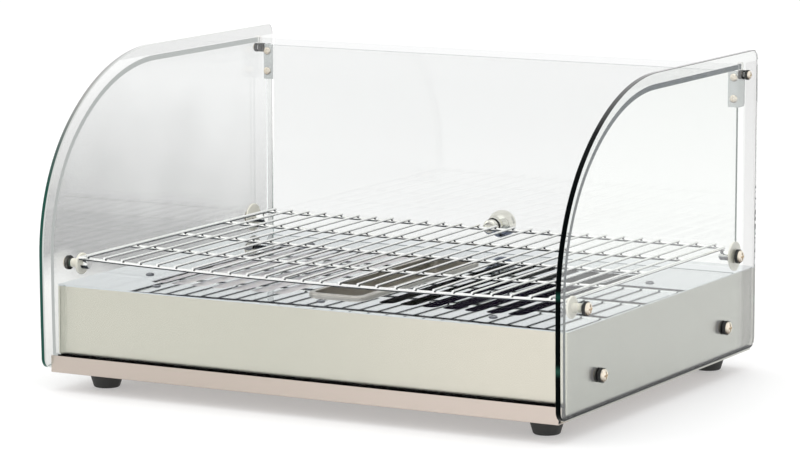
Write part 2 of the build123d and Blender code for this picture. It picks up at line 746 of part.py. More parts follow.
# Side glasses, cut to one outline with a bent front
glass_rear = back - side_glass_rear_inset
for side, sign in sides:
    with BuildPart() as side_glass:
        foot, fullest, joint, end = glass_outline(0)
        with BuildSketch(Plane.YZ.offset(sign * (glass_in + glass_out) / 2)):
            with BuildLine():
                TangentArc(fullest, foot, tangent=(0, -1))
                TangentArc(fullest, joint, tangent=(0, 1))
                slope = radians(lower_bend_angle)
                TangentArc(joint, end, tangent=(sin(slope), cos(slope)))
                Polyline(end, (glass_rear, overall_height), (glass_rear, side_glass_bottom), foot)
            make_face()
        extrude(amount=side_glass_thickness / 2, both=True)
        corners = side_glass.edges().filter_by(Axis.X)
        low_corners = corners.group_by(Axis.Z)[0]
        rear_corner = corners.group_by(Axis.Z)[-1].sort_by(Axis.Y)[-1]
        fillet(low_corners + [rear_corner], radius=glass_corner_radius)
        rims = side_glass.faces().filter_by(Axis.X).edges()
        chamfer(rims, length=glass_arris)
        holes = [(y, case_screw_z, glass_hole_radius) for y in case_screw_y]
        holes += [(y, support_z, glass_hole_radius) for y in (support_front_y, support_rear_y)]
        holes += [(pivot[0], pivot[1], pivot_screw_radius + glass_hole_play)]
        for y, z, radius in holes:
            with BuildSketch(Plane.YZ.offset(sign * (glass_in + glass_out) / 2)):
                with Locations((y, z)):
                    Circle(radius)
            extrude(amount=side_glass_thickness / 2, both=True, mode=Mode.SUBTRACT)
    save(side_glass, f"side_glass_{side}")

# Front glass: one sheet bent over the top to the door
front_half = glass_in - front_glass_side_gap
with BuildPart() as front_glass:
    with BuildSketch(Plane.YZ):
        with BuildLine():
            slope = radians(lower_bend_angle)
            ends = []
            for inset in (front_glass_offset, front_glass_offset + front_glass_thickness):
                foot, fullest, joint, end = glass_outline(inset)
                TangentArc(fullest, foot, tangent=(0, -1))
                TangentArc(fullest, joint, tangent=(0, 1))
                TangentArc(joint, end, tangent=(sin(slope), cos(slope)))
                Line(end, (front_end, end[1]))
                ends.append((foot, (front_end, end[1])))
            Line(ends[0][0], ends[1][0])
            Line(ends[0][1], ends[1][1])
        make_face()
    extrude(amount=front_half, both=True)
    end_corners = front_glass.edges().filter_by(Axis.Z).group_by(Axis.Y)[-1]
    fillet(end_corners, radius=front_glass_corner)
save(front_glass, "front_glass")

with BuildPart() as glass_bed_strip:
    foot = glass_outline(front_glass_offset)[0]
    with BuildSketch(Plane.YZ):
        with Locations((foot[0] + front_glass_thickness / 2, floor_top)):
            Rectangle(front_glass_thickness + 2 * bed_margin, side_glass_bottom - floor_top,
                      align=(Align.CENTER, Align.MIN))
    extrude(amount=front_half - bed_end_gap, both=True)
save(glass_bed_strip, "glass_bed_strip")

# Screws, washers and nuts that clamp the side glasses to the case
case_points = [(sign, y, case_screw_z) for sign in (-1, 1) for y in case_screw_y]
support_points = [(sign, y, support_z) for sign in (-1, 1) for y in (support_front_y, support_rear_y)]
head_x = glass_out + rubber_thickness
bore = screw_radius + bore_clearance
with BuildPart() as glass_screws:
    for sign, y, z in case_points:
        length = head_x - (half_case - sheet - nut_thickness - screw_end)
        screw((sign * head_x, y, z), (sign, 0, 0), screw_radius, length, screw_head_radius, screw_head_height)
save(glass_screws, "glass_screws")
with BuildPart() as glass_rubbers:
    for sign, y, z in case_points:
        washer((sign * glass_out, y, z), (sign, 0, 0), bore, rubber_radius, rubber_thickness)
save(glass_rubbers, "glass_rubbers")
with BuildPart() as glass_spacers:
    for sign, y, z in case_points:
        washer((sign * half_case, y, z), (sign, 0, 0), bore, rubber_radius, side_glass_gap)
save(glass_spacers, "glass_spacers")
with BuildPart() as glass_nuts:
    for sign, y, z in case_points:
        hex_nut((sign * (half_case - sheet), y, z), (-sign, 0, 0), nut_across_flats, bore, nut_thickness)
save(glass_nuts, "glass_nuts")

# Shelf supports: screw, rubber washer, nylon disc and round post; the front discs have a collar
front_post_x = glass_in - collar_length - disc_thickness
rear_post_x = glass_in - rear_disc_thickness
front_post_end = front_post_x - post_reach
rear_post_end = rear_post_x - rear_post_reach
with BuildPart() as support_screws:
    for sign, y, z in support_points:
        post_x = front_post_x if y == support_front_y else rear_post_x
        length = head_x - post_x + post_bore_length - screw_end
        screw((sign * head_x, y, z), (sign, 0, 0), screw_radius, length, screw_head_radius, screw_head_height)
save(support_screws, "support_screws")
with BuildPart() as support_rubbers:
    for sign, y, z in support_points:
        washer((sign * glass_out, y, z), (sign, 0, 0), bore, rubber_radius, rubber_thickness)
save(support_rubbers, "support_rubbers")
with BuildPart() as support_discs:
    for sign, y, z in support_points:
        if y == support_front_y:
            disc_end = collar_length + disc_thickness
            turned((sign * glass_in, y, z), (-sign, 0, 0),
                   [(seat_gap, bore), (seat_gap, collar_radius), (collar_length, collar_radius),
                    (collar_length, disc_radius - disc_edge), (collar_length + disc_edge, disc_radius),
                    (disc_end - disc_edge, disc_radius), (disc_end, disc_radius - disc_edge),
                    (disc_end, bore)])
        else:
            turned((sign * glass_in, y, z), (-sign, 0, 0),
                   [(seat_gap, bore), (seat_gap, rear_disc_radius),
                    (rear_disc_thickness - rear_disc_edge, rear_disc_radius),
                    (rear_disc_thickness, rear_disc_radius - rear_disc_edge), (rear_disc_thickness, bore)])
save(support_discs, "support_discs")
with BuildPart() as support_posts:
    for sign, y, z in support_points:
        post_x = front_post_x if y == support_front_y else rear_post_x
        length = post_x - (front_post_end if y == support_front_y else rear_post_end)
        turned((sign * post_x, y, z), (-sign, 0, 0),
               [(0, bore), (0, post_radius), (length - post_edge, post_radius),
                (length, post_radius - post_edge), (length, 0), (post_bore_length, 0),
                (post_bore_length, bore)])
save(support_posts, "support_posts")

# Wire shelf: side wires and five cross wires, then the long wires that lie on them
frame_z = support_z + post_radius + frame_wire_radius
side_wire_x = front_post_x - fit - frame_wire_radius
shelf_front = front + shelf_front_inset
shelf_rear = back - shelf_rear_inset
cross_gap = (shelf_rear - shelf_front) / (cross_wire_count - 1)


def sag_at(y):
    """Drop of a cross wire at mid span, falling from the front wire to none at the back."""
    return shelf_sag * (shelf_rear - y) / (shelf_rear - shelf_front)


def drop_at(x, y):
    """Drop of the cross wires at a point, taken along the arc of the wire."""
    sag = sag_at(y)
    return sag * (1 - (x / side_wire_x) ** 2)


with BuildPart() as shelf_frame:
    for sign in (-1, 1):
        with BuildSketch(Plane.XZ.offset(-shelf_front)):
            with Locations((sign * side_wire_x, frame_z)):
                Circle(frame_wire_radius)
        extrude(amount=-(shelf_rear - shelf_front))
    reach = side_wire_x - cross_wire_end
    for i in range(cross_wire_count - 1):
        y = shelf_front + i * cross_gap
        sag = sag_at(y)
        bend = (side_wire_x ** 2 + sag ** 2) / (2 * sag)
        spread = asin(reach / bend)
        arc_z = frame_z - sag + bend * (1 - cos(spread))
        end_z = arc_z + cross_wire_end * tan(spread)
        with BuildLine(Plane.XZ.offset(-y)) as cross_path:
            Line((-side_wire_x, end_z), (-reach, arc_z))
            ThreePointArc((-reach, arc_z), (0, frame_z - sag), (reach, arc_z))
            Line((reach, arc_z), (side_wire_x, end_z))
        with BuildSketch(Plane(origin=cross_path.line @ 0, z_dir=cross_path.line % 0)):
            Circle(cross_wire_radius)
        sweep(path=cross_path.line)
    with BuildSketch(Plane.YZ):
        with Locations((shelf_rear, frame_z)):
            Circle(cross_wire_radius)
    extrude(amount=side_wire_x, both=True)
save(shelf_frame, "shelf_frame")

long_wire_count = int(2 * (side_wire_x - long_wire_side_gap) / long_wire_pitch) + 1
with BuildPart() as shelf_wires:
    lift = cross_wire_radius + long_wire_radius + weld_rest
    for i in range(long_wire_count):
        x = (i - (long_wire_count - 1) / 2) * long_wire_pitch
        y0 = shelf_front - long_wire_overhang
        y1 = shelf_rear + long_wire_overhang
        start = Vector(x, y0, frame_z + lift - drop_at(x, y0))
        stop = Vector(x, y1, frame_z + lift - drop_at(x, y1))
        with BuildSketch(Plane(origin=start, z_dir=stop - start)):
            Circle(long_wire_radius)
        extrude(amount=(stop - start).length)
save(shelf_wires, "shelf_wires")

# Door glass, hung from two brackets and pulled by a knob at its foot
bracket_out = door_half_width + edge_clearance + bracket_sheet
bracket_back = door_front - seat_gap
screw_x = bracket_out - bracket_screw_inset
with BuildPart() as door_glass:
    with BuildSketch(Plane.XZ.offset(-door_back)):
        door_top = pivot[1] + door_above_pivot
        with Locations((0, (door_bottom + door_top) / 2)):
            RectangleRounded(2 * door_half_width, door_top - door_bottom, door_corner)
        with Locations(*[(sign * screw_x, z) for sign in (-1, 1) for z in bracket_screw_z]):
            Circle(bracket_screw_radius + glass_hole_play, mode=Mode.SUBTRACT)
        with Locations((0, knob_z)):
            Circle(knob_hole_radius, mode=Mode.SUBTRACT)
    extrude(amount=door_glass_thickness)
save(door_glass, "door_glass")

for side, sign in sides:
    with BuildPart() as hinge_bracket:
        with BuildSketch(Plane.XZ.offset(-bracket_back)):
            with Locations((sign * (bracket_out - bracket_face_width / 2), bracket_bottom)):
                Rectangle(bracket_face_width, bracket_top - bracket_bottom, align=(Align.CENTER, Align.MIN))
            with Locations(*[(sign * screw_x, z) for z in bracket_screw_z]):
                Circle(bracket_screw_radius + bore_clearance, mode=Mode.SUBTRACT)
        extrude(amount=bracket_sheet)
        with BuildSketch(Plane.YZ.offset(sign * (bracket_out - bracket_sheet / 2))):
            with Locations((bracket_back - bracket_sheet, bracket_bottom)):
                leg = Rectangle(bracket_depth, bracket_top - bracket_bottom, align=(Align.MIN, Align.MIN))
            fillet(leg.vertices().group_by(Axis.X)[-1], radius=bracket_round)
        extrude(amount=bracket_sheet / 2, both=True)
        upright = hinge_bracket.edges().filter_by(Axis.Z)
        bend_at = (sign * (bracket_out - bracket_sheet), bracket_back, pivot[1])
        inner_bend = upright.sort_by_distance(bend_at)[0]
        fillet(inner_bend, radius=bracket_bend)
        upright = hinge_bracket.edges().filter_by(Axis.Z)
        bend_at = (sign * bracket_out, bracket_back - bracket_sheet, pivot[1])
        outer_bend = upright.sort_by_distance(bend_at)[0]
        fillet(outer_bend, radius=bracket_bend + bracket_sheet)
        with BuildSketch(Plane.YZ.offset(sign * bracket_out)):
            with Locations(pivot):
                Circle(pivot_screw_radius + bore_clearance)
        extrude(amount=-sign * 2 * bracket_sheet, mode=Mode.SUBTRACT)
    save(hinge_bracket, f"hinge_bracket_{side}")

with BuildPart() as bracket_screws:
    for sign in (-1, 1):
        for z in bracket_screw_z:
            screw((sign * screw_x, bracket_back - bracket_sheet, z), (0, -1, 0), bracket_screw_radius,
                  door_back - bracket_back + bracket_sheet + bracket_nut_thickness + bracket_screw_end,
                  bracket_head_radius, bracket_head_height)
save(bracket_screws, "bracket_screws")
with BuildPart() as bracket_nuts:
    for sign in (-1, 1):
        for z in bracket_screw_z:
            hex_nut((sign * screw_x, door_back, z), (0, 1, 0), bracket_nut_flats,
                    bracket_screw_radius + bore_clearance, bracket_nut_thickness)
save(bracket_nuts, "bracket_nuts")

with BuildPart() as door_knob:
    knob_plane = Plane(origin=(0, door_back, knob_z), x_dir=(0, 1, 0), z_dir=(1, 0, 0))
    neck_y = knob_ball_y - (knob_ball_radius ** 2 - knob_stem_radius ** 2) ** 0.5
    with BuildSketch(knob_plane):
        with BuildLine():
            Polyline((neck_y, knob_stem_radius), (knob_foot, knob_stem_radius),
                     (knob_foot, knob_stem_radius + knob_foot_step), (0, knob_stem_radius + knob_foot_step),
                     (0, knob_screw_radius + bore_clearance),
                     (neck_y, knob_screw_radius + bore_clearance), (neck_y, 0),
                     (knob_ball_y + knob_ball_radius, 0))
            ThreePointArc((knob_ball_y + knob_ball_radius, 0), (knob_ball_y, knob_ball_radius),
                          (neck_y, knob_stem_radius))
        make_face()
    revolve(axis=Axis((0, door_back, knob_z), (0, 1, 0)))
save(door_knob, "door_knob")
with BuildPart() as door_knob_button:
    button_plane = Plane(origin=(0, door_front, knob_z), x_dir=(0, -1, 0), z_dir=(-1, 0, 0))
    with BuildSketch(button_plane):
        with BuildLine():
            round_over = knob_button_length * 0.4
            screw_tip = knob_screw_gap - door_glass_thickness - neck_y
            Polyline((knob_button_length, knob_button_radius - round_over), (knob_button_length, 0),
                     (screw_tip, 0), (screw_tip, knob_screw_radius), (0, knob_screw_radius),
                     (0, knob_button_radius), (knob_button_length - round_over, knob_button_radius))
            RadiusArc((knob_button_length - round_over, knob_button_radius),
                      (knob_button_length, knob_button_radius - round_over), round_over)
        make_face()
    revolve(axis=Axis((0, door_front, knob_z), (0, 1, 0)))
save(door_knob_button, "door_knob_button")

# Pivots of the door in the side glasses
pivot_points = [(sign, pivot[0], pivot[1]) for sign in (-1, 1)]
with BuildPart() as pivot_screws:
    for sign, y, z in pivot_points:
        start_x = glass_out + pivot_washer_thickness
        length = start_x - (bracket_out - bracket_sheet + bracket_play)
        screw((sign * start_x, y, z), (sign, 0, 0), pivot_screw_radius, length, pivot_head_radius,
              pivot_head_height)
save(pivot_screws, "pivot_screws")
with BuildPart() as pivot_washers:
    for sign, y, z in pivot_points:
        washer((sign * glass_out, y, z), (sign, 0, 0), pivot_screw_radius + bore_clearance,
               pivot_washer_radius, pivot_washer_thickness)
save(pivot_washers, "pivot_washers")
with BuildPart() as pivot_bushes:
    for sign, y, z in pivot_points:
        washer((sign * (glass_in - seat_gap), y, z), (-sign, 0, 0), pivot_screw_radius + bore_clearance,
               pivot_bush_radius, glass_in - seat_gap - bracket_out - fit)
save(pivot_bushes, "pivot_bushes")

# Slotted studs at the rear corners of the front glass
slot_low = overall_height - front_glass_offset - front_glass_thickness
stud_z = slot_low + front_glass_thickness / 2
with BuildPart() as glass_studs:
    for sign in (-1, 1):
        turned((sign * glass_in, front_end + stud_setback, stud_z), (-sign, 0, 0),
               [(seat_gap, 0), (seat_gap, stud_radius), (stud_length - stud_edge, stud_radius),
                (stud_length, stud_radius - stud_edge), (stud_length, 0)])
        with BuildSketch(Plane.YZ.offset(sign * (glass_in - stud_length / 2))):
            with Locations((front_end + stud_slot_play, slot_low)):
                Rectangle(2 * stud_radius, front_glass_thickness + fit, align=(Align.MAX, Align.MIN))
        extrude(amount=stud_length, both=True, mode=Mode.SUBTRACT)
save(glass_studs, "glass_studs")

# Thermostat behind the panel, its shaft and the dial knob
with BuildPart() as thermostat:
    with BuildSketch(Plane.XZ.offset(-(back - sheet))):
        with Locations((dial_x, control_z)):
            RectangleRounded(thermostat_width, thermostat_height, thermostat_corner)
    extrude(amount=thermostat_depth)
    with BuildSketch(Plane.XZ.offset(-(back - sheet))):
        with Locations((dial_x, control_z)):
            Circle(thermostat_hole_radius - bore_clearance)
    extrude(amount=-(sheet + dial_gap - fit))
    with BuildSketch(Plane.XZ.offset(-(back + dial_gap))):
        with Locations((dial_x, control_z)):
            Circle(dial_shaft_radius + bore_clearance)
    extrude(amount=thermostat_bore, mode=Mode.SUBTRACT)
    with BuildSketch(Plane.XZ.offset(-(back - sheet - thermostat_depth))):
        with Locations((dial_x, control_z)):
            with GridLocations(spade_pitch, 1, 2, 1):
                Rectangle(spade_width, spade_thickness)
    extrude(amount=spade_length)
save(thermostat, "thermostat")
shaft_start = back + dial_gap - dial_shaft_inside
with BuildPart() as dial_shaft:
    with BuildSketch(Plane.XZ.offset(-shaft_start)):
        with Locations((dial_x, control_z)):
            Circle(dial_shaft_radius)
    extrude(amount=-(dial_shaft_inside + dial_bore_depth - fit))
    with BuildSketch(Plane.XZ.offset(-(back + dial_gap))):
        with Locations((dial_x, control_z + dial_shaft_radius - dial_shaft_flat)):
            Rectangle(2 * dial_shaft_radius, 2 * dial_shaft_flat, align=(Align.CENTER, Align.MIN))
    extrude(amount=-dial_bore_depth, mode=Mode.SUBTRACT)
save(dial_shaft, "dial_shaft")
with BuildPart() as dial_knob:
    with BuildSketch(Plane.XZ.offset(-(back + dial_gap))):
        with Locations((dial_x, control_z)):
            Circle(dial_skirt_radius)
    extrude(amount=-dial_skirt_thickness)
    skirt_rim = dial_knob.edges().group_by(Axis.Y)[-1]
    fillet(skirt_rim, radius=dial_skirt_round)
    with BuildSketch(Plane.XZ.offset(-(back + dial_gap + dial_skirt_thickness / 2))):
        with Locations((dial_x, control_z)):
            Circle(dial_grip_radius)
            with PolarLocations(dial_grip_radius + dial_flute_offset, dial_flute_count,
                                start_angle=90 + 180 / dial_flute_count):
                Circle(dial_flute_radius, mode=Mode.SUBTRACT)
    extrude(amount=-(control_reach - dial_gap - dial_skirt_thickness / 2), taper=dial_grip_taper)
    grip_top = dial_knob.faces().sort_by(Axis.Y)[-1]
    chamfer(grip_top.edges(), length=dial_grip_edge)
    with BuildSketch(Plane.XZ.offset(-(back + dial_gap))):
        with Locations((dial_x, control_z)):
            Circle(dial_shaft_radius + bore_clearance)
    extrude(amount=-dial_bore_depth, mode=Mode.SUBTRACT)
save(dial_knob, "dial_knob")

# Pilot lamp
with BuildPart() as pilot_lamp:
    turned((lamp_x, back, control_z), (0, 1, 0),
           [(-sheet - lamp_body_length, 0), (-sheet - lamp_body_length, lamp_tail_radius),
            (-sheet, lamp_radius - lamp_play), (0, lamp_radius - lamp_play), (0, lamp_bezel_radius),
            (lamp_bezel_thickness - lamp_edge, lamp_bezel_radius),
            (lamp_bezel_thickness, lamp_bezel_radius - lamp_edge), (lamp_bezel_thickness, lamp_lens_radius),
            (lamp_lens_height - lamp_edge, lamp_lens_radius - lamp_edge),
            (lamp_lens_height, lamp_lens_radius - 3 * lamp_edge), (lamp_lens_height, 0)])
save(pilot_lamp, "pilot_lamp")

# Rocker switch: a housing with an open pocket and the rocker on its pins
rocker_axis_y = back - rocker_axis_drop
with BuildPart() as switch_housing:
    with BuildSketch(Plane.XZ.offset(-(back + switch_bezel))):
        with Locations((switch_x, control_z)):
            RectangleRounded(switch_width, switch_height, switch_corner)
    extrude(amount=switch_bezel)
    with BuildSketch(Plane.XZ.offset(-back)):
        with Locations((switch_x, control_z)):
            Rectangle(switch_body_width, switch_body_height)
    extrude(amount=switch_body_depth)
    with BuildSketch(Plane.XZ.offset(-(back + switch_bezel))):
        with Locations((switch_x, control_z)):
            Rectangle(rocker_width + 2 * fit, rocker_height + 2 * rocker_pocket_gap)
    extrude(amount=switch_pocket_depth, mode=Mode.SUBTRACT)
    with BuildSketch(Plane.YZ.offset(switch_x)):
        with Locations((rocker_axis_y, control_z)):
            Circle(rocker_pin_radius + bore_clearance)
    extrude(amount=rocker_width / 2 + rocker_pin_length + fit, both=True, mode=Mode.SUBTRACT)
    with BuildSketch(Plane.XZ.offset(-(back - switch_body_depth))):
        with Locations((switch_x, control_z)):
            with GridLocations(1, switch_tab_pitch, 1, 3):
                Rectangle(spade_width, spade_thickness)
    extrude(amount=spade_length)
save(switch_housing, "switch_housing")
tilt = radians(rocker_tilt)
rocker_plane = Plane(origin=(switch_x, rocker_axis_y, control_z), x_dir=(0, cos(tilt), sin(tilt)),
                     z_dir=(1, 0, 0))
with BuildPart() as rocker:
    half = rocker_height / 2
    shoulder = rocker_thickness * rocker_shoulder
    with BuildSketch(rocker_plane):
        with BuildLine():
            Polyline((rocker_crest, -half), (-shoulder, -half), (-rocker_thickness / 2, 0), (-shoulder, half),
                     (rocker_crest, half))
            ThreePointArc((rocker_crest, half), (rocker_hollow, 0), (rocker_crest, -half))
        make_face()
    extrude(amount=rocker_width / 2, both=True)
    with BuildSketch(rocker_plane):
        Circle(rocker_pin_radius)
    extrude(amount=rocker_width / 2 + rocker_pin_length, both=True)
save(rocker, "rocker")

# Cord gland with an open bore, and its locknut
with BuildPart() as cord_gland:
    turned((gland_x, back, gland_z), (0, 1, 0),
           [(-gland_body_length, gland_bore_radius), (-gland_body_length, gland_body_radius),
            (0, gland_body_radius), (0, gland_body_radius + gland_flange),
            (gland_flange_thickness, gland_body_radius + gland_flange),
            (gland_flange_thickness, gland_body_radius + gland_barrel),
            (gland_length - gland_edge, gland_body_radius + gland_barrel),
            (gland_length, gland_body_radius + gland_barrel - gland_edge), (gland_length, gland_bore_radius)])
save(cord_gland, "cord_gland")
with BuildPart() as gland_nut:
    hex_nut((gland_x, back - sheet, gland_z), (0, -1, 0), gland_nut_flats, gland_body_radius + bore_clearance,
            gland_nut_thickness)
save(gland_nut, "gland_nut")

# Ceramic terminal block on the floor of the case
block_y = back - block_inset
block_top = floor_top + block_height
ports = [block_x + (i - (block_ports - 1) / 2) * block_pitch for i in range(block_ports)]
with BuildPart() as terminal_block:
    with BuildSketch(Plane.XY.offset(floor_top)):
        with Locations((block_x, block_y)):
            Rectangle(block_length, block_width)
    extrude(amount=block_height)
    upright = terminal_block.edges().filter_by(Axis.Z)
    fillet(upright, radius=block_corner)
    with BuildSketch(Plane.XY.offset(block_top)):
        with Locations(*[(x, block_y) for x in ports]):
            Circle(block_well_radius)
    extrude(amount=-block_well_depth, mode=Mode.SUBTRACT)
save(terminal_block, "terminal_block")
with BuildPart() as terminal_screws:
    for x in ports:
        screw((x, block_y, block_top - block_well_depth + block_screw_length), (0, 0, 1), block_screw_radius,
              block_screw_length, block_screw_head, block_screw_head_height, (1, 0, 0))
save(terminal_screws, "terminal_screws")

# Lugged earth stud on the floor
stud_x = block_x + earth_stud_offset
with BuildPart() as earth_stud:
    turned((stud_x, block_y, floor_top), (0, 0, 1),
           [(0, 0), (0, earth_lug_radius), (earth_lug_thickness, earth_lug_radius),
            (earth_lug_thickness, earth_stud_radius), (earth_stud_height, earth_stud_radius),
            (earth_stud_height, 0)], (1, 0, 0))
save(earth_stud, "earth_stud")

# Wires behind the tray; each leaves its terminal along Y, crosses over and meets the next one along Y
pin_tip = tail_end + element_pin_length
tab_tip = back - switch_body_depth - spade_length
spade_tip = back - sheet - thermostat_depth - spade_length
lamp_back = back - sheet - lamp_body_length
block_face = block_y - block_width / 2
block_z = floor_top + block_height / 2
pins = sorted(sign * slot_group_x + leg for sign in (-1, 1) for leg in (leg_offsets[0], leg_offsets[-1]))
behind_pins = pin_tip + wire_reach
low_lane = block_face - wire_reach
lowest_lane = low_lane - 2 * wire_bend
routes = [
    ((switch_x, tab_tip, control_z - switch_tab_pitch), (ports[0], block_face, block_z), low_lane),
    ((switch_x, tab_tip, control_z + switch_tab_pitch), (dial_x + spade_pitch / 2, spade_tip, control_z),
     spade_tip - wire_reach + 2 * wire_bend / 3),
    ((dial_x - spade_pitch / 2, spade_tip, control_z), (pins[0], pin_tip, element_z), behind_pins),
    ((pins[1], pin_tip, element_z), (pins[2], pin_tip, element_z), behind_pins),
    ((pins[3], pin_tip, element_z), (ports[3], block_face, block_z), (pin_tip + block_face) / 2),
    ((lamp_x + lamp_lead_offset, lamp_back, control_z), (switch_x, tab_tip, control_z),
     tab_tip - wire_reach + wire_bend / 2),
    ((lamp_x - lamp_lead_offset, lamp_back, control_z), (ports[1], block_face, block_z), lowest_lane),
]


def wire_between(start, stop, crossing_y):
    """A round wire bent twice, with its crossing stretch at crossing_y."""
    across = Vector(stop[0] - start[0], 0, stop[2] - start[2])
    level = crossing_y - start[1]
    with BuildLine(Plane(origin=start, x_dir=across, z_dir=across.cross(Vector(0, 1, 0)))) as line:
        FilletPolyline((0, 0), (0, level), (across.length, level), (across.length, stop[1] - start[1]),
                       radius=wire_bend)
    with BuildSketch(Plane(origin=start, z_dir=(0, 1 if level > 0 else -1, 0))) as cut:
        Circle(wire_radius)
    sweep(cut.sketch, path=line.line)


with BuildPart() as wiring:
    for start, stop, crossing_y in routes:
        wire_between(start, stop, crossing_y)
save(wiring, "wiring")
with BuildPart() as earth_wire:
    wire_between((ports[2], block_face, block_z), (stud_x, block_y - earth_stud_radius, block_z), lowest_lane)
save(earth_wire, "earth_wire")
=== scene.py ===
import json
import math

import bpy
import numpy as np
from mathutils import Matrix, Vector


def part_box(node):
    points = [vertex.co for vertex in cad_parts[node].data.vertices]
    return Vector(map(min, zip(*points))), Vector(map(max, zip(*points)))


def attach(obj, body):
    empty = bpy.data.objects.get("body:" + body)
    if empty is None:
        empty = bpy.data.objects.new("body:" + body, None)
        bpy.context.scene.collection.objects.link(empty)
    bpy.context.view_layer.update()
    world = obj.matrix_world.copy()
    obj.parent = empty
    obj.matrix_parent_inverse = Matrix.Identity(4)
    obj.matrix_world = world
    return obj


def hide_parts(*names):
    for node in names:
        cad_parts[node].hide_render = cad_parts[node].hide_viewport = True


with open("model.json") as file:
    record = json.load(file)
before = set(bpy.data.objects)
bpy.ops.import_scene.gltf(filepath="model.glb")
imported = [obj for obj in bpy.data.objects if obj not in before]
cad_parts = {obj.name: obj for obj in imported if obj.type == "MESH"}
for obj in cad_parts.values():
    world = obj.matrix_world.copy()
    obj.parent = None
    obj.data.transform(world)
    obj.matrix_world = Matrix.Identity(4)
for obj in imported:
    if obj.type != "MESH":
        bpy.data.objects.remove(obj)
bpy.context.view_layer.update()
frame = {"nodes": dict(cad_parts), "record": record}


# Short cuts for node trees
def addNode(tree, kind, place=(0, 0), **settings):
    node = tree.nodes.new(kind)
    node.location = place
    for name, value in settings.items():
        setattr(node, name, value)
    return node


def feed(tree, socket, value):
    # a socket takes a number, a colour or the output of another node
    if isinstance(value, (int, float)):
        socket.default_value = value
    elif isinstance(value, tuple):
        socket.default_value = (*value, 1)
    else:
        tree.links.new(value, socket)


def calculate(tree, operation, *terms, **settings):
    node = addNode(tree, "ShaderNodeMath", operation=operation, **settings)
    for socket, term in zip(node.inputs, terms):
        feed(tree, socket, term)
    return node.outputs[0]


def mapped(tree, value, limits, **settings):
    # 0 up to the first limit, 1 from the second on
    node = addNode(tree, "ShaderNodeMapRange", **settings)
    feed(tree, node.inputs["Value"], value)
    feed(tree, node.inputs["From Min"], limits[0])
    feed(tree, node.inputs["From Max"], limits[1])
    return node.outputs["Result"]


def mixValue(tree, factor, low, high):
    # straight blend: low + factor * (high - low)
    node = addNode(tree, "ShaderNodeMapRange")
    feed(tree, node.inputs["Value"], factor)
    feed(tree, node.inputs["To Min"], low)
    feed(tree, node.inputs["To Max"], high)
    return node.outputs["Result"]


def mixColour(tree, factor, low, high, **settings):
    node = addNode(tree, "ShaderNodeMix", data_type="RGBA", **settings)
    feed(tree, node.inputs["Factor"], factor)
    feed(tree, node.inputs["A"], low)
    feed(tree, node.inputs["B"], high)
    return node.outputs["Result"]


def axesOf(tree, vector):
    node = addNode(tree, "ShaderNodeSeparateXYZ")
    feed(tree, node.inputs[0], vector)
    return node.outputs


def noiseOf(tree, place, scale, detail, **others):
    node = addNode(tree, "ShaderNodeTexNoise")
    feed(tree, node.inputs["Vector"], place)
    feed(tree, node.inputs["Scale"], scale)
    feed(tree, node.inputs["Detail"], detail)
    for label, value in others.items():
        feed(tree, node.inputs[label], value)
    return node.outputs["Fac"]


def newGroup(name, inputs, outputs):
    group = bpy.data.node_groups.new(name, "ShaderNodeTree")
    for label, kind, value in inputs:
        socket = group.interface.new_socket(name=label, in_out="INPUT", socket_type=kind)
        socket.default_value = value
    for label, kind in outputs:
        group.interface.new_socket(name=label, in_out="OUTPUT", socket_type=kind)
    start = addNode(group, "NodeGroupInput", (-800, 0))
    end = addNode(group, "NodeGroupOutput", (600, 0))
    return group, start, end


def useGroup(tree, group, **values):
    node = addNode(tree, "ShaderNodeGroup", (-500, 0), node_tree=group)
    for name, value in values.items():
        node.inputs[name].default_value = value
    coords = addNode(tree, "ShaderNodeTexCoord", (-900, 0))
    tree.links.new(coords.outputs["Object"], node.inputs["Place"])
    return node


# Effects that several finishes share
def grainGroup(look):
    # long fine scratches: noise squeezed across the direction of the polishing belt
    group, start, end = newGroup(
        "polishing grain",
        [("Place", "NodeSocketVector", (0, 0, 0)), ("Stretch", "NodeSocketVector", (4, 4, 900)),
         ("Contrast", "NodeSocketFloat", 1.0)],
        [("Grain", "NodeSocketFloat")])
    squeeze = addNode(group, "ShaderNodeVectorMath", (-600, 0), operation="MULTIPLY")
    feed(group, squeeze.inputs[0], start.outputs["Place"])
    feed(group, squeeze.inputs[1], start.outputs["Stretch"])
    fine = noiseOf(group, squeeze.outputs[0], look["scale"], look["detail"], Roughness=look["rough"])
    centred = calculate(group, "SUBTRACT", fine, look["middle"])
    scaled = calculate(group, "MULTIPLY_ADD", centred, start.outputs["Contrast"], look["middle"],
                       use_clamp=True)
    feed(group, end.inputs["Grain"], scaled)
    return group


def handlingGroup(look):
    # patches left by hands and wiping: broad noise cut softly; specks: finer noise cut sharply
    group, start, end = newGroup(
        "handling marks",
        [("Place", "NodeSocketVector", (0, 0, 0)), ("Size", "NodeSocketFloat", 9.0),
         ("Coverage", "NodeSocketFloat", 0.5)],
        [("Marks", "NodeSocketFloat"), ("Specks", "NodeSocketFloat")])
    broad = noiseOf(group, start.outputs["Place"], start.outputs["Size"], look["detail"],
                    Distortion=look["distortion"])
    low = calculate(group, "SUBTRACT", 1.0, start.outputs["Coverage"])
    high = calculate(group, "ADD", low, look["softness"])
    finer = calculate(group, "MULTIPLY", start.outputs["Size"], look["finer"])
    speck = noiseOf(group, start.outputs["Place"], finer, look["speckDetail"])
    feed(group, end.inputs["Marks"], mapped(group, broad, (low, high), interpolation_type="SMOOTHSTEP"))
    feed(group, end.inputs["Specks"], mapped(group, speck, look["speckCut"], interpolation_type="SMOOTHSTEP"))
    return group


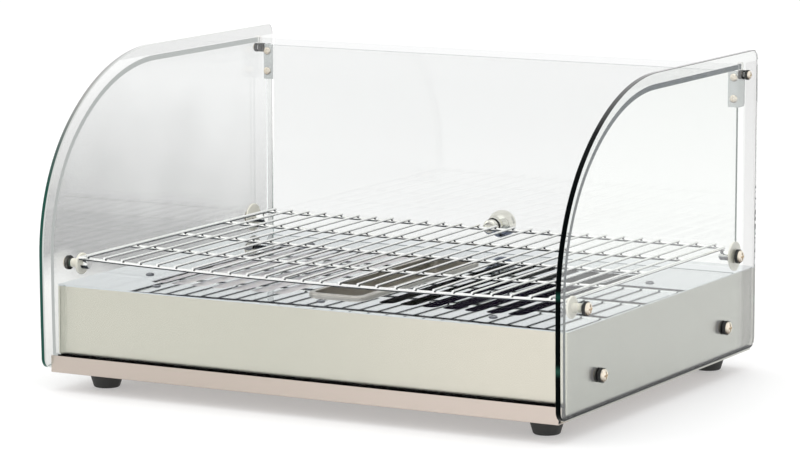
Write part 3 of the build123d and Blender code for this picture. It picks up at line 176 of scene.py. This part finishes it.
def mouldGroup(look):
    # fine pebble of moulded plastic and rubber: small rounded cells, with broad clouds for the tone
    group, start, end = newGroup(
        "moulded grain",
        [("Place", "NodeSocketVector", (0, 0, 0)), ("Size", "NodeSocketFloat", 900.0)],
        [("Pebble", "NodeSocketFloat"), ("Cloud", "NodeSocketFloat")])
    cells = addNode(group, "ShaderNodeTexVoronoi", (-400, 100), feature="SMOOTH_F1")
    feed(group, cells.inputs["Vector"], start.outputs["Place"])
    feed(group, cells.inputs["Scale"], start.outputs["Size"])
    feed(group, end.inputs["Pebble"], cells.outputs["Distance"])
    feed(group, end.inputs["Cloud"], noiseOf(group, start.outputs["Place"], look["clouds"], look["detail"]))
    return group


grain = grainGroup({"scale": 1.0, "detail": 6.0, "rough": 0.7, "middle": 0.5})
handling = handlingGroup({"detail": 4.0, "distortion": 0.6, "softness": 0.22, "finer": 38.0,
                          "speckDetail": 2.0, "speckCut": (0.66, 0.74)})
moulded = mouldGroup({"clouds": 60.0, "detail": 4.0})
print("shared effects built")


def newMaterial(name, colour, roughness, metallic=0.0, **sockets):
    mat = bpy.data.materials.new(name)
    mat.use_nodes = True
    shader = mat.node_tree.nodes["Principled BSDF"]
    shader.inputs["Base Color"].default_value = (*colour, 1)
    shader.inputs["Roughness"].default_value = roughness
    shader.inputs["Metallic"].default_value = metallic
    for label, value in sockets.items():
        shader.inputs[label.replace("_", " ")].default_value = value
    return mat, mat.node_tree, shader


def bumpFrom(tree, shader, height, distance):
    bump = addNode(tree, "ShaderNodeBump", (-200, -300))
    feed(tree, bump.inputs["Strength"], 1.0)
    feed(tree, bump.inputs["Distance"], distance)
    feed(tree, bump.inputs["Height"], height)
    feed(tree, shader.inputs["Normal"], bump.outputs["Normal"])


# Sheet metal
def paintedFrontLight(tree, base, look):
    # painted light: brightens and warms the sides that look to the front, more towards the right end than the
    # left end
    coords = addNode(tree, "ShaderNodeTexCoord", (-900, 600))
    turned = mapped(tree, axesOf(tree, coords.outputs["Normal"])["Y"], frontLightTurn)
    along = mapped(tree, axesOf(tree, coords.outputs["Object"])["X"], look["reach"],
                   interpolation_type="SMOOTHSTEP")
    toned = mixColour(tree, 1.0, base, mixColour(tree, along, *look["front"]), blend_type="MULTIPLY")
    return mixColour(tree, turned, base, toned)


def brushedSheet(name, look):
    # rolled and polished sheet, its grain in the tone, the roughness and the bump
    mat, tree, shader = newMaterial(name, look["colour"], look["roughness"], 1.0)
    brushed = useGroup(tree, grain, Stretch=look["stretch"], Contrast=look["contrast"])
    marks = useGroup(tree, handling, Size=look["markSize"], Coverage=look["marks"])
    tone = mixColour(tree, brushed.outputs["Grain"], look["darker"], look["colour"])
    tone = mixColour(tree, marks.outputs["Marks"], tone, look["stained"])
    # painted light on the sides that look to the front
    if "front" in look:
        tone = paintedFrontLight(tree, tone, look)
    feed(tree, shader.inputs["Base Color"], tone)
    rough = mixValue(tree, brushed.outputs["Grain"], look["roughness"] - sheetSpread,
                     look["roughness"] + sheetSpread)
    feed(tree, shader.inputs["Roughness"], rough)
    bumpFrom(tree, shader, brushed.outputs["Grain"], look["depth"])
    return mat


frontLightTurn = (-0.4, -0.9)  # how far a side looks to the front: no painted front light, full painted front light
sheetSpread = 0.05  # of the roughness, with the grain
caseLook = {"colour": (0.472, 0.470, 0.428), "darker": (0.462, 0.460, 0.418),
            "stained": (0.467, 0.465, 0.423), "roughness": 0.26, "stretch": (5, 5, 1100), "contrast": 0.7,
            "markSize": 7.0, "marks": 0.4, "depth": 0.000003,
            "front": ((1.36, 1.34, 1.28), (1.62, 1.54, 1.46)), "reach": (-0.05, 0.25)}
panLook = {"colour": (0.49, 0.43, 0.385), "darker": (0.475, 0.415, 0.37), "stained": (0.48, 0.42, 0.38),
           "roughness": 0.30, "stretch": (5, 900, 900), "contrast": 0.7, "markSize": 9.0, "marks": 0.4,
           "depth": 0.000003, "front": ((1.06, 1.06, 1.05), (1.25, 1.24, 1.24)), "reach": (-0.15, 0.25)}
rearLook = {"colour": (0.60, 0.60, 0.57), "darker": (0.54, 0.54, 0.51), "stained": (0.56, 0.56, 0.53),
            "roughness": 0.30, "stretch": (5, 5, 1000), "contrast": 1.0, "markSize": 8.0, "marks": 0.5,
            "depth": 0.00002}
waterPanLook = {"colour": (0.60, 0.575, 0.53), "darker": (0.57, 0.545, 0.50), "stained": (0.58, 0.555, 0.51),
                "roughness": 0.28, "stretch": (5, 700, 700), "contrast": 0.5, "markSize": 12.0, "marks": 0.3,
                "depth": 0.0000005}
deckLook = {"colour": (0.67, 0.705, 0.73), "darker": (0.65, 0.685, 0.71), "stained": (0.65, 0.685, 0.71),
            "roughness": 0.03, "stretch": (900, 5, 5), "contrast": 0.5, "markSize": 12.0, "marks": 0.3,
            "depth": 0.000001}
steelLook = {"colour": (0.50, 0.50, 0.50), "darker": (0.40, 0.40, 0.40), "stained": (0.42, 0.41, 0.39),
             "roughness": 0.36, "stretch": (6, 400, 400), "contrast": 1.0, "markSize": 14.0, "marks": 0.5,
             "depth": 0.00002}
bracketLook = {"colour": (0.56, 0.58, 0.58), "darker": (0.50, 0.52, 0.52), "stained": (0.52, 0.54, 0.54),
               "roughness": 0.20, "stretch": (900, 900, 6), "contrast": 0.8, "markSize": 40.0, "marks": 0.3,
               "depth": 0.00001}


# Plated metal
def markedRoughness(tree, shader, look):
    # rougher and a little speckled where it was touched
    marks = useGroup(tree, handling, Size=look["markSize"], Coverage=look["marks"])
    rough = mixValue(tree, marks.outputs["Marks"], look["roughness"], look["roughness"] + look["dulled"])
    feed(tree, shader.inputs["Roughness"], rough)
    bumpFrom(tree, shader, marks.outputs["Specks"], speckDepth)
    return marks


def chromePlate(name, look):
    # bright plating, another tone where it is marked
    mat, tree, shader = newMaterial(name, look["colour"], look["roughness"], 1.0)
    marks = markedRoughness(tree, shader, look)
    tone = mixColour(tree, marks.outputs["Marks"], look["colour"], look["stained"])
    feed(tree, shader.inputs["Base Color"], tone)
    return mat


speckDepth = 0.000006
chromeLook = {"colour": (0.90, 0.89, 0.87), "stained": (0.82, 0.79, 0.74), "roughness": 0.07, "dulled": 0.10,
              "markSize": 45.0, "marks": 0.4}
brassLook = {"colour": (0.80, 0.61, 0.30), "stained": (0.55, 0.38, 0.18), "roughness": 0.25, "dulled": 0.2,
             "markSize": 90.0, "marks": 0.5}
tubeLook = {"colour": (0.17, 0.15, 0.15), "stained": (0.26, 0.19, 0.16), "roughness": 0.34, "dulled": 0.15,
            "markSize": 28.0, "marks": 0.5}


def shadedPlate(name, look):
    # plating with painted shade: the tone darkens as a face looks down, to a dark colour on the undersides
    mat, tree, shader = newMaterial(name, look["colour"], look["roughness"], 1.0)
    markedRoughness(tree, shader, look)
    facing = addNode(tree, "ShaderNodeNewGeometry", (-900, 100))
    shade = mapped(tree, axesOf(tree, facing.outputs["Normal"])["Z"], look["turn"],
                   interpolation_type="SMOOTHSTEP")
    feed(tree, shader.inputs["Base Color"], mixColour(tree, shade, look["under"], look["colour"]))
    return mat


# the dark colour of each look below is painted shade on the undersides, bluish on the knob
wireLook = {"colour": (1.0, 1.0, 0.98), "under": (0.03, 0.035, 0.045), "turn": (-0.35, 0.0),
            "roughness": 0.14, "dulled": 0.10, "markSize": 45.0, "marks": 0.4}
knobLook = {"colour": (0.80, 0.79, 0.72), "under": (0.12, 0.14, 0.20), "turn": (-0.55, 0.10),
            "roughness": 0.06, "dulled": 0.06, "markSize": 45.0, "marks": 0.3}
deckScrewLook = {"colour": (0.26, 0.27, 0.29), "under": (0.05, 0.05, 0.06), "turn": (-0.5, 0.9),
                 "roughness": 0.3, "dulled": 0.10, "markSize": 90.0, "marks": 0.4}
headLook = {"colour": (0.88, 0.80, 0.68), "under": (0.16, 0.12, 0.09), "turn": (-0.85, 0.25),
            "roughness": 0.24, "dulled": 0.10, "markSize": 90.0, "marks": 0.4}


def foilSheet(name, look):
    # crumpled foil: cells of small facets, with creases from broad to fine over them; the colour goes to a
    # lilac painted shade with the crease noise
    mat, tree, shader = newMaterial(name, look["colour"], look["roughness"], 1.0)
    coords = addNode(tree, "ShaderNodeTexCoord", (-1000, 0))
    facets = addNode(tree, "ShaderNodeTexVoronoi", (-800, 0), feature="DISTANCE_TO_EDGE")
    feed(tree, facets.inputs["Vector"], coords.outputs["Object"])
    feed(tree, facets.inputs["Scale"], look["facets"])
    creases = noiseOf(tree, coords.outputs["Object"], look["creases"], look["creaseDetail"])
    feed(tree, shader.inputs["Base Color"], mixColour(tree, creases, look["shade"], look["colour"]))
    bumpFrom(tree, shader, calculate(tree, "ADD", facets.outputs["Distance"], creases), look["depth"])
    return mat


foilLook = {"colour": (0.95, 0.92, 0.84), "shade": (0.66, 0.62, 0.72), "roughness": 0.34, "facets": 260.0,
            "creases": 120.0, "creaseDetail": 8.0, "depth": 0.0004}


# Plastic, rubber, enamel and ceramic
def mouldedPart(name, look):
    # pebbled skin whose tone and roughness drift with the clouds
    mat, tree, shader = newMaterial(name, look["colour"], look["roughness"], 0.0,
                                    Specular_IOR_Level=look.get("gloss", plainGloss))
    skin = useGroup(tree, moulded, Size=look["pebble"])
    cloud = skin.outputs["Cloud"]
    feed(tree, shader.inputs["Base Color"], mixColour(tree, cloud, look["colour"], look["worn"]))
    rough = mixValue(tree, cloud, look["roughness"] - skinSpread, look["roughness"] + skinSpread)
    feed(tree, shader.inputs["Roughness"], rough)
    bumpFrom(tree, shader, skin.outputs["Pebble"], look["depth"])
    return mat


plainGloss = 0.5
skinSpread = 0.08  # of the roughness, with the clouds
rubberLook = {"colour": (0.018, 0.020, 0.019), "worn": (0.045, 0.045, 0.043), "roughness": 0.62,
              "pebble": 1300.0, "depth": 0.00004}
greyRubberLook = {"colour": (0.16, 0.16, 0.16), "worn": (0.22, 0.22, 0.21), "roughness": 0.6,
                  "pebble": 1500.0, "depth": 0.00003}
nylonLook = {"colour": (0.86, 0.82, 0.71), "worn": (0.90, 0.87, 0.78), "roughness": 0.38, "pebble": 700.0,
             "depth": 0.00002}
blackPlasticLook = {"colour": (0.016, 0.016, 0.017), "worn": (0.03, 0.03, 0.03), "roughness": 0.33,
                    "pebble": 1100.0, "depth": 0.00003}
darkPlasticLook = {"colour": (0.035, 0.035, 0.036), "worn": (0.06, 0.06, 0.06), "roughness": 0.5,
                   "pebble": 1000.0, "depth": 0.00004}
redPlasticLook = {"colour": (0.55, 0.03, 0.02), "worn": (0.62, 0.06, 0.04), "roughness": 0.22,
                  "pebble": 500.0, "depth": 0.00001}
ceramicLook = {"colour": (0.80, 0.77, 0.70), "worn": (0.70, 0.66, 0.58), "roughness": 0.35, "pebble": 300.0,
               "depth": 0.00003}
coverLook = {"colour": (0.004, 0.003, 0.008), "worn": (0.008, 0.006, 0.014), "roughness": 0.45,
             "pebble": 400.0, "depth": 0.00001, "gloss": 0.0}
enamelLook = {"colour": (0.016, 0.015, 0.020), "worn": (0.035, 0.032, 0.038), "roughness": 0.42,
              "pebble": 600.0, "depth": 0.00003}


def braidedSleeve(name, look):
    # crossed yarns of the sleeve: two sets of slanted waves multiplied
    mat, tree, shader = newMaterial(name, look["colour"], look["roughness"])
    coords = addNode(tree, "ShaderNodeTexCoord", (-1000, 0))
    yarns = []
    for turn in (look["slant"], -look["slant"]):
        tilt = addNode(tree, "ShaderNodeMapping", (-800, 100))
        tilt.inputs["Rotation"].default_value = (turn, turn, turn)
        feed(tree, tilt.inputs["Vector"], coords.outputs["Object"])
        wave = addNode(tree, "ShaderNodeTexWave", (-600, 100))
        feed(tree, wave.inputs["Vector"], tilt.outputs["Vector"])
        feed(tree, wave.inputs["Scale"], look["yarns"])
        yarns.append(wave.outputs["Fac"])
    braid = calculate(tree, "MULTIPLY", *yarns)
    feed(tree, shader.inputs["Base Color"], mixColour(tree, braid, look["shade"], look["colour"]))
    bumpFrom(tree, shader, braid, look["depth"])
    return mat


sleeveLook = {"colour": (0.70, 0.67, 0.60), "shade": (0.45, 0.42, 0.36), "roughness": 0.7, "slant": 0.7,
              "yarns": 420.0, "depth": 0.0002}
earthLook = {"colour": (0.30, 0.50, 0.10), "shade": (0.62, 0.60, 0.08), "roughness": 0.7, "slant": 0.4,
             "yarns": 60.0, "depth": 0.0002}


# Glass
def colourStops(tree, value, stops):
    # a ramp of colours from (place, colour) pairs
    node = addNode(tree, "ShaderNodeValToRGB", (-500, 500))
    marks = node.color_ramp.elements
    while len(marks) < len(stops):
        marks.new(1.0)
    for mark, (place, colour) in zip(marks, stops):
        mark.position = place
        mark.color = (*colour, 1)
    feed(tree, node.inputs["Fac"], value)
    return node.outputs["Color"]


def banded(tree, tone, place, bands):
    # lays the colour of each band over the tone: none at its first limit, all from its second on
    for axis, limits, colour in bands:
        tone = mixColour(tree, mapped(tree, place[axis], limits), tone, colour)
    return tone


def cutEdge(tree, look, place, normal):
    # 1 where the normal leaves the one that the flat sides have, and below the hem
    edge = mapped(tree, calculate(tree, "ABSOLUTE", normal[look["axis"]]), (look["flat"], look["cut"]))
    hem = mapped(tree, place["Z"], look["hem"], interpolation_type="SMOOTHSTEP")
    return calculate(tree, "MAXIMUM", edge, hem)


def sheetTint(tree, look, coords, place, rise):
    # one tint, or a painted reflection: a fade that follows the height with clouds in it; then the pale bands
    tone = look["face"]
    if "fade" in look:
        paintedClouds = noiseOf(tree, coords.outputs["Object"], look["paintedCloudSize"], look["paintedCloudDetail"])
        cloudy = calculate(tree, "MULTIPLY_ADD", paintedClouds, look["paintedClouds"], rise)
        tone = colourStops(tree, cloudy, look["fade"])
    return banded(tree, tone, place, look["bands"])


def clearGlass(name, look):
    # clear sheet; lamps shine straight through it, and its cut edges are black with a painted glow that
    # stands in for the light they pipe
    mat, tree, shader = newMaterial(name, look["face"], look["roughness"], 0.0, Transmission_Weight=1.0,
                                    IOR=look["ior"], Emission_Strength=1.0, Coat_Weight=look["coat"])
    coords = addNode(tree, "ShaderNodeTexCoord", (-1100, 350))
    rays = addNode(tree, "ShaderNodeLightPath", (-1100, 700))
    place = axesOf(tree, coords.outputs["Object"])
    border = cutEdge(tree, look, place, axesOf(tree, coords.outputs["Normal"]))
    leant = calculate(tree, "MULTIPLY_ADD", place["Y"], look["lean"], place["Z"])
    rise = mapped(tree, leant, look["span"])
    untinted = rays.outputs["Is Reflection Ray"]
    if "skin" in look:
        outside = calculate(tree, "LESS_THAN", place["X"], look["skin"])
        untinted = calculate(tree, "MAXIMUM", untinted, outside)
    seen = mixColour(tree, untinted, sheetTint(tree, look, coords, place, rise), look["mirrored"])
    paintedEdgeGlow = banded(tree, colourStops(tree, rise, look["edge"]), place, look["edgeBands"])
    feed(tree, shader.inputs["Base Color"], mixColour(tree, border, seen, unlit))
    feed(tree, shader.inputs["Specular Tint"], mixColour(tree, border, look["sheen"], unlit))
    feed(tree, shader.inputs["Emission Color"], mixColour(tree, border, unlit, paintedEdgeGlow))
    marks = useGroup(tree, handling, Size=look["markSize"], Coverage=look["marks"])
    rough = mixValue(tree, marks.outputs["Marks"], look["roughness"], look["roughness"] + look["film"])
    feed(tree, shader.inputs["Roughness"], rough)
    passing = addNode(tree, "ShaderNodeBsdfTransparent", (0, -500))
    feed(tree, passing.inputs["Color"], look["shadow"])
    blend = addNode(tree, "ShaderNodeMixShader", (300, 0))
    feed(tree, blend.inputs["Fac"], rays.outputs["Is Shadow Ray"])
    feed(tree, blend.inputs[1], shader.outputs[0])
    feed(tree, blend.inputs[2], passing.outputs[0])
    feed(tree, tree.nodes["Material Output"].inputs["Surface"], blend.outputs[0])
    return mat


unlit = (0.0, 0.0, 0.0)
# emission colours of the painted glow on the cut edges
inkGlass = (0.001, 0.002, 0.002)
greenGlass = (0.02, 0.085, 0.065)
doorEdge = (0.02, 0.05, 0.045)
# painted shadow in the channel, below the front glass's hem
paintedChannelShadow = (0.001, 0.001, 0.001)

# edge stops are the painted glow of the cut edges and run from the low end of the span to its top; a band is
# axis, limits in metres and colour
plainGlass = {"face": (0.91, 0.915, 0.91), "bands": [], "edge": [(0.0, doorEdge), (1.0, doorEdge)],
              "edgeBands": [], "span": (0.02, 0.31), "lean": 0.0, "hem": (0.0300, 0.0290),
              "shadow": (0.97, 0.975, 0.97), "mirrored": (0.95, 0.955, 0.95), "sheen": (0.9, 0.9, 0.9),
              "roughness": 0.0, "film": 0.01, "ior": 1.48, "coat": 0.0, "markSize": 5.0, "marks": 0.3}
doorGlassLook = {**plainGlass, "axis": "Y", "flat": 0.80, "cut": 0.60}
# no refraction in the bent glass: with it, a dark line of inner reflection follows the bend;
# its hem is painted black, a painted shadow line where it goes down into the channel
frontGlassLook = {**plainGlass, "axis": "X", "flat": 0.40, "cut": 0.60, "face": (0.90, 0.905, 0.905),
                  "edge": [(0.0, paintedChannelShadow), (0.060, paintedChannelShadow), (0.065, (0.04, 0.06, 0.065)),
                           (0.6, (0.03, 0.045, 0.05)), (1.0, (0.035, 0.055, 0.07))],
                  "edgeBands": [("X", (-0.2590, -0.2600), (0.48, 0.50, 0.49))], "hem": (0.0352, 0.0349),
                  "mirrored": (0.95, 0.955, 0.955), "sheen": (0.8, 0.8, 0.8), "ior": 1.0, "coat": 0.12}
sideGlassLook = {**plainGlass, "axis": "X", "flat": 0.95, "cut": 0.75, "face": (0.93, 0.945, 0.93),
                 "bands": [("Y", (0.1715, 0.1730), (0.74, 0.74, 0.735)),
                           ("Z", (0.3000, 0.3010), (0.87, 0.88, 0.87))],
                 "edge": [(0.0, inkGlass), (0.145, inkGlass), (0.164, (0.02, 0.07, 0.05)),
                          (0.185, inkGlass), (0.375, inkGlass), (0.392, (0.008, 0.05, 0.035)),
                          (0.41, inkGlass), (0.86, inkGlass), (0.98, (0.13, 0.13, 0.13))],
                 "hem": (0.0248, 0.0240), "shadow": (0.96, 0.97, 0.965), "mirrored": (0.95, 0.96, 0.95),
                 "film": 0.012, "markSize": 6.0, "marks": 0.35}
# painted reflection: the left glass is tinted with a grey fade with clouds for the grey that it mirrors;
# beyond the skin lies its outer face, which has no tint
paintedFadeGlassLook = {**sideGlassLook, "span": (0.06, 0.31), "lean": 0.20, "skin": -0.2685,
                   "fade": [(0.12, (0.80, 0.80, 0.78)), (0.25, (0.22, 0.22, 0.22)),
                            (0.42, (0.265, 0.265, 0.265)), (0.57, (0.46, 0.46, 0.46)),
                            (0.81, (0.68, 0.68, 0.68)), (1.0, (0.90, 0.90, 0.90))],
                   "paintedClouds": 0.30, "paintedCloudSize": 9.0, "paintedCloudDetail": 1.5,
                   "bands": [("Z", (0.3000, 0.3010), (0.66, 0.66, 0.66))],
                   "edge": [(0.0, greenGlass), (0.35, greenGlass), (0.51, (0.10, 0.14, 0.13)),
                            (0.72, (0.38, 0.38, 0.37)), (1.0, (0.50, 0.50, 0.50))],
                   "edgeBands": [("X", (-0.2675, -0.2671), (0.66, 0.68, 0.66))]}

finishes = {
    "brushed_stainless": brushedSheet("brushed stainless", caseLook),
    "polished_stainless": brushedSheet("polished stainless", deckLook),
    "plain_steel": brushedSheet("plain steel", steelLook),
    "aluminium_foil": foilSheet("aluminium foil", foilLook),
    "black_enamel": mouldedPart("black enamel", enamelLook),
    "element_tube": chromePlate("heat-darkened tube", tubeLook),
    "ceramic": mouldedPart("glazed ceramic", ceramicLook),
    "side_glass": clearGlass("side glass", sideGlassLook),
    "front_glass": clearGlass("front glass", frontGlassLook),
    "door_glass": clearGlass("door glass", doorGlassLook),
    "black_rubber": mouldedPart("black rubber", rubberLook),
    "grey_rubber": mouldedPart("grey rubber", greyRubberLook),
    "nylon": mouldedPart("nylon", nylonLook),
    "chrome": chromePlate("chrome", chromeLook),
    "black_plastic": mouldedPart("black plastic", blackPlasticLook),
    "dark_plastic": mouldedPart("dark plastic", darkPlasticLook),
    "red_plastic": mouldedPart("red plastic", redPlasticLook),
    "brass": chromePlate("brass", brassLook),
    "wire_sleeve": braidedSleeve("braided sleeve", sleeveLook),
    "earth_sleeve": braidedSleeve("earth sleeve", earthLook),
}
ownFinish = {
    "bottom_pan": brushedSheet("folded pan", panLook),
    "rear_panel": brushedSheet("rear sheet", rearLook),
    "hinge_bracket_left": brushedSheet("hinge sheet", bracketLook),
    "side_glass_left": clearGlass("side glass with a grey fade", paintedFadeGlassLook),
    "radiant_cover": mouldedPart("glossy enamel", coverLook),
    "water_pan": brushedSheet("satin pan", waterPanLook),
    "shelf_wires": shadedPlate("shelf wire", wireLook),
    "door_knob": shadedPlate("knob plating", knobLook),
    "glass_screws": shadedPlate("nickel heads", headLook),
    "deck_screws": shadedPlate("deck screws", deckScrewLook),
}
for node, other in (("hinge_bracket_right", "hinge_bracket_left"), ("shelf_frame", "shelf_wires"),
                    ("support_posts", "shelf_wires"), ("support_screws", "glass_screws"),
                    ("pivot_screws", "glass_screws"), ("door_knob_button", "door_knob"),
                    ("bracket_screws", "glass_screws")):
    ownFinish[node] = ownFinish[other]

for row in frame["record"]["subparts"]:
    node = frame["nodes"][row["node"]]
    finish = ownFinish.get(row["node"], finishes[row["material_slot"]])
    for slot in node.material_slots:
        slot.material = finish
print("finishes placed on", len(frame["nodes"]), "nodes")


# Pieces that the plain shapes leave out
def addPiece(name, points, faces, finish, body):
    mesh = bpy.data.meshes.new(name)
    mesh.from_pydata(points.tolist(), [], faces.tolist())
    mesh.shade_smooth()
    mesh.materials.append(finish)
    piece = bpy.data.objects.new(name, mesh)
    bpy.context.collection.objects.link(piece)
    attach(piece, body)
    return piece


def gridFaces(rows, columns):
    # quads between neighbouring points of a grid that is stored row by row
    i, j = np.meshgrid(np.arange(rows - 1), np.arange(columns - 1), indexing="ij")
    corner = i * columns + j
    return np.stack([corner, corner + columns, corner + columns + 1, corner + 1], -1).reshape(-1, 4)


def foldedNoise(x, y, cell, turn, seed):
    # height of a sheet folded along a lattice of triangles with chance heights at its corners
    across = (x * math.cos(turn) + y * math.sin(turn)) / cell
    along = (y * math.cos(turn) - x * math.sin(turn)) / cell
    u, v = across + along / math.sqrt(3), 2 * along / math.sqrt(3)
    i, j = np.floor(u).astype(int), np.floor(v).astype(int)
    fu, fv = u - i, v - j
    rows, columns = latticeSize
    table = np.random.default_rng(seed).uniform(-1, 1, latticeSize)
    near, far = table[i % rows, j % columns], table[(i + 1) % rows, (j + 1) % columns]
    side, front = table[(i + 1) % rows, j % columns], table[i % rows, (j + 1) % columns]
    return np.where(fu + fv < 1, near + fu * (side - near) + fv * (front - near),
                    far + (1 - fu) * (front - far) + (1 - fv) * (side - far))


latticeSize = (97, 89)  # corners of the lattice before it repeats


def foldedSum(x, y, folds):
    # folds are height, width of a fold, turn of the lattice and seed
    return sum(height * foldedNoise(x, y, cell, turn, seed) for height, cell, turn, seed in folds)


def slotCentres(look):
    middle = (look["count"] - 1) / 2
    steps = [(i - middle) * look["pitch"] for i in range(look["count"])]
    return [sign * look["centre"] + step for sign in (-1, 1) for step in steps]


slotRows = {"centre": 0.1225, "pitch": 0.022, "count": 7, "length": 0.254, "middle": -0.0255}


def foilBlanket(look):
    # height = flat sheet + a pillow that rises into each slot, a half ellipse across that fades at the
    # slot's ends, + folds of three sizes; the rim is pressed down to the base
    low, high = (np.array(corner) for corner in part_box("foil_cover"))
    x = np.linspace(low[0], high[0], look["across"])
    y = np.linspace(low[1], high[1], look["along"])
    x, y = np.meshgrid(x, y, indexing="ij")
    reach = np.min([abs(x - centre) for centre in slotCentres(slotRows)], axis=0) / look["pillow"]
    ends = (slotRows["length"] / 2 - abs(y - slotRows["middle"])) / look["fade"]
    puff = np.sqrt(np.clip(1 - reach ** 2, 0, 1)) * np.sqrt(np.clip(ends, 0, 1))
    rise = look["rise"] + foldedSum(x, y, look["uneven"])
    z = look["sheet"] + puff * rise + foldedSum(x, y, look["folds"])
    rim = (x == x[0, 0]) | (x == x[-1, 0]) | (y == y[0, 0]) | (y == y[0, -1])
    z[rim] = low[2]
    points = np.stack([x, y, z], -1).reshape(-1, 3)
    piece = addPiece("foil_blanket", points, gridFaces(*x.shape), finishes["aluminium_foil"],
                     "case")
    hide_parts("foil_cover")


foilLayout = {"across": 150, "along": 210, "pillow": 0.0066, "fade": 0.006, "sheet": 0.0970, "rise": 0.0025,
              "uneven": [(0.0006, 0.017, 0.4, 9)],
              "folds": [(0.0005, 0.0075, 0.3, 1), (0.00035, 0.0042, 1.1, 2), (0.0002, 0.0024, 2.0, 3)]}


def raisedMarks(corners, low, high):
    # each mark is a four-sided plate: four corners sunk in the panel, the same four at its printed height
    count, outline = corners.shape[:2]
    points = np.empty((count, 2 * outline, 3))
    points[:, :, 0], points[:, :, 2] = np.tile(corners[:, :, 0], 2), np.tile(corners[:, :, 1], 2)
    points[:, :outline, 1], points[:, outline:, 1] = low, high
    sides = np.array([[3, 2, 1, 0], [5, 6, 7, 4], [1, 5, 4, 0], [2, 6, 5, 1], [3, 7, 6, 2], [0, 4, 7, 3]])
    first = 2 * outline * np.arange(count)[:, None, None]
    return points.reshape(-1, 3), (sides[None] + first).reshape(-1, outline)


def dialScale(look):
    # marks at equal steps of angle, from the rest position of the dial to its other stop
    low, high = (np.array(corner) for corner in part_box("dial_knob"))
    middle = (low + high) / 2
    turns = np.radians(np.linspace(look["first"], look["first"] + look["sweep"], look["marks"]))
    inner = np.full(look["marks"], (high[0] - low[0]) / 2 + look["gap"])
    outer = inner + np.where(np.arange(look["marks"]) % look["longEach"] == 0, look["long"], look["short"])
    out = np.stack([np.sin(turns), np.cos(turns)], -1)[:, None]
    side = np.stack([np.cos(turns), -np.sin(turns)], -1)[:, None] * look["width"] / 2
    reach = np.stack([inner, outer, outer, inner], -1)[:, :, None]
    lean = np.array([-1, -1, 1, 1])[None, :, None]
    corners = middle[[0, 2]] + out * reach + side * lean
    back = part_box("rear_panel")[1][1]
    points, faces = raisedMarks(corners, back - look["sunk"], back + look["height"])
    piece = addPiece("dial_scale", points, faces, finishes["black_plastic"], "case")
    piece.data.shade_flat()


scaleMarks = {"first": -135.0, "sweep": 270.0, "marks": 19, "longEach": 3, "gap": 0.0016, "long": 0.0046,
              "short": 0.0026, "width": 0.0009, "sunk": 0.0001, "height": 0.00008}

foilBlanket(foilLayout)
dialScale(scaleMarks)
print("foil and dial scale added")


# Floor, light and camera
def aimed(place, aim, axis):
    return (Vector(aim) - Vector(place)).to_track_quat(axis, "Y").to_euler()


def flatSheet(name, wide, high, finish):
    mesh = bpy.data.meshes.new(name)
    mesh.from_pydata([(-wide / 2, -high / 2, 0), (wide / 2, -high / 2, 0), (wide / 2, high / 2, 0),
                      (-wide / 2, high / 2, 0)], [], [(0, 1, 2, 3)])
    mesh.materials.append(finish)
    sheet = bpy.data.objects.new(name, mesh)
    bpy.context.collection.objects.link(sheet)
    return sheet


def makeFloor(look):
    # a light table: pale sheet that also glows a little
    finish = newMaterial("pale floor", look["colour"], look["roughness"],
                         Emission_Color=(*look["glow"], 1), Emission_Strength=look["lit"])[0]
    flatSheet("floor", look["size"], look["size"], finish)


floorLook = {"size": 32.0, "colour": (0.66, 0.66, 0.66), "roughness": 0.7, "glow": (1.0, 1.0, 1.0),
             "lit": 0.33}


def hangCards(looks):
    # grey cards out of the picture that the metal and the glass mirror
    for name, look in looks.items():
        card = flatSheet(name, *look["size"], newMaterial(name, look["colour"], look["roughness"])[0])
        card.location = look["place"]
        card.rotation_euler = aimed(look["place"], look["aim"], "Z")


cards = {
    "rear_right_card": {"place": (1.5, 2.3, 0.75), "aim": (0, 0, 0.15), "size": (1.3, 1.45),
                        "colour": (0.60, 0.61, 0.61), "roughness": 0.9},
}


def addLamp(name, look):
    lamp = bpy.data.lights.new(name, "AREA")
    lamp.shape = "RECTANGLE"
    lamp.size, lamp.size_y = look["size"]
    lamp.energy = look["power"]
    lamp.color = look["colour"]
    holder = bpy.data.objects.new(name, lamp)
    holder.visible_glossy = False  # the lamps light the metal but don't show in it
    holder.location = look["place"]
    holder.rotation_euler = aimed(look["place"], look["aim"], "-Z")
    bpy.context.collection.objects.link(holder)


def lightRoom(look, lampLooks):
    world = bpy.data.worlds.new("studio")
    bpy.context.scene.world = world
    world.use_nodes = True
    back = world.node_tree.nodes["Background"]
    back.inputs["Color"].default_value = (*look["colour"], 1)
    back.inputs["Strength"].default_value = look["strength"]
    for name, lampLook in lampLooks.items():
        addLamp(name, lampLook)
    bpy.context.scene.view_settings.view_transform = "Standard"
    bpy.context.scene.view_settings.exposure = look["exposure"]


roomLook = {"colour": (1.0, 1.0, 1.0), "strength": 1.05, "exposure": 0.0}
lamps = {
    "top softbox": {"place": (0.2, -0.2, 2.2), "aim": (0, 0, 0.1), "size": (2.4, 2.0), "power": 12.0,
                    "colour": (1.0, 1.0, 1.0)},
    "left softbox": {"place": (-2.2, -1.6, 1.4), "aim": (0, 0, 0.15), "size": (1.4, 1.4), "power": 8.0,
                     "colour": (1.0, 0.97, 0.92)},
}


def placeCamera(look):
    camera = bpy.data.cameras.new("camera")
    camera.sensor_width = look["sensor"]
    camera.lens = look["lens"]
    camera.clip_end = look["far"]
    holder = bpy.data.objects.new("camera", camera)
    holder.location = look["place"]
    holder.rotation_euler = (math.pi / 2 - look["pitch"], 0, look["yaw"])
    bpy.context.collection.objects.link(holder)
    bpy.context.scene.camera = holder


view = {"place": (1.7230, -3.1942, 0.6931), "yaw": 0.497, "pitch": 0.151, "lens": 173.67, "sensor": 36.0,
        "far": 60}

makeFloor(floorLook)
hangCards(cards)
lightRoom(roomLook, lamps)
placeCamera(view)
print("floor, light and camera set")
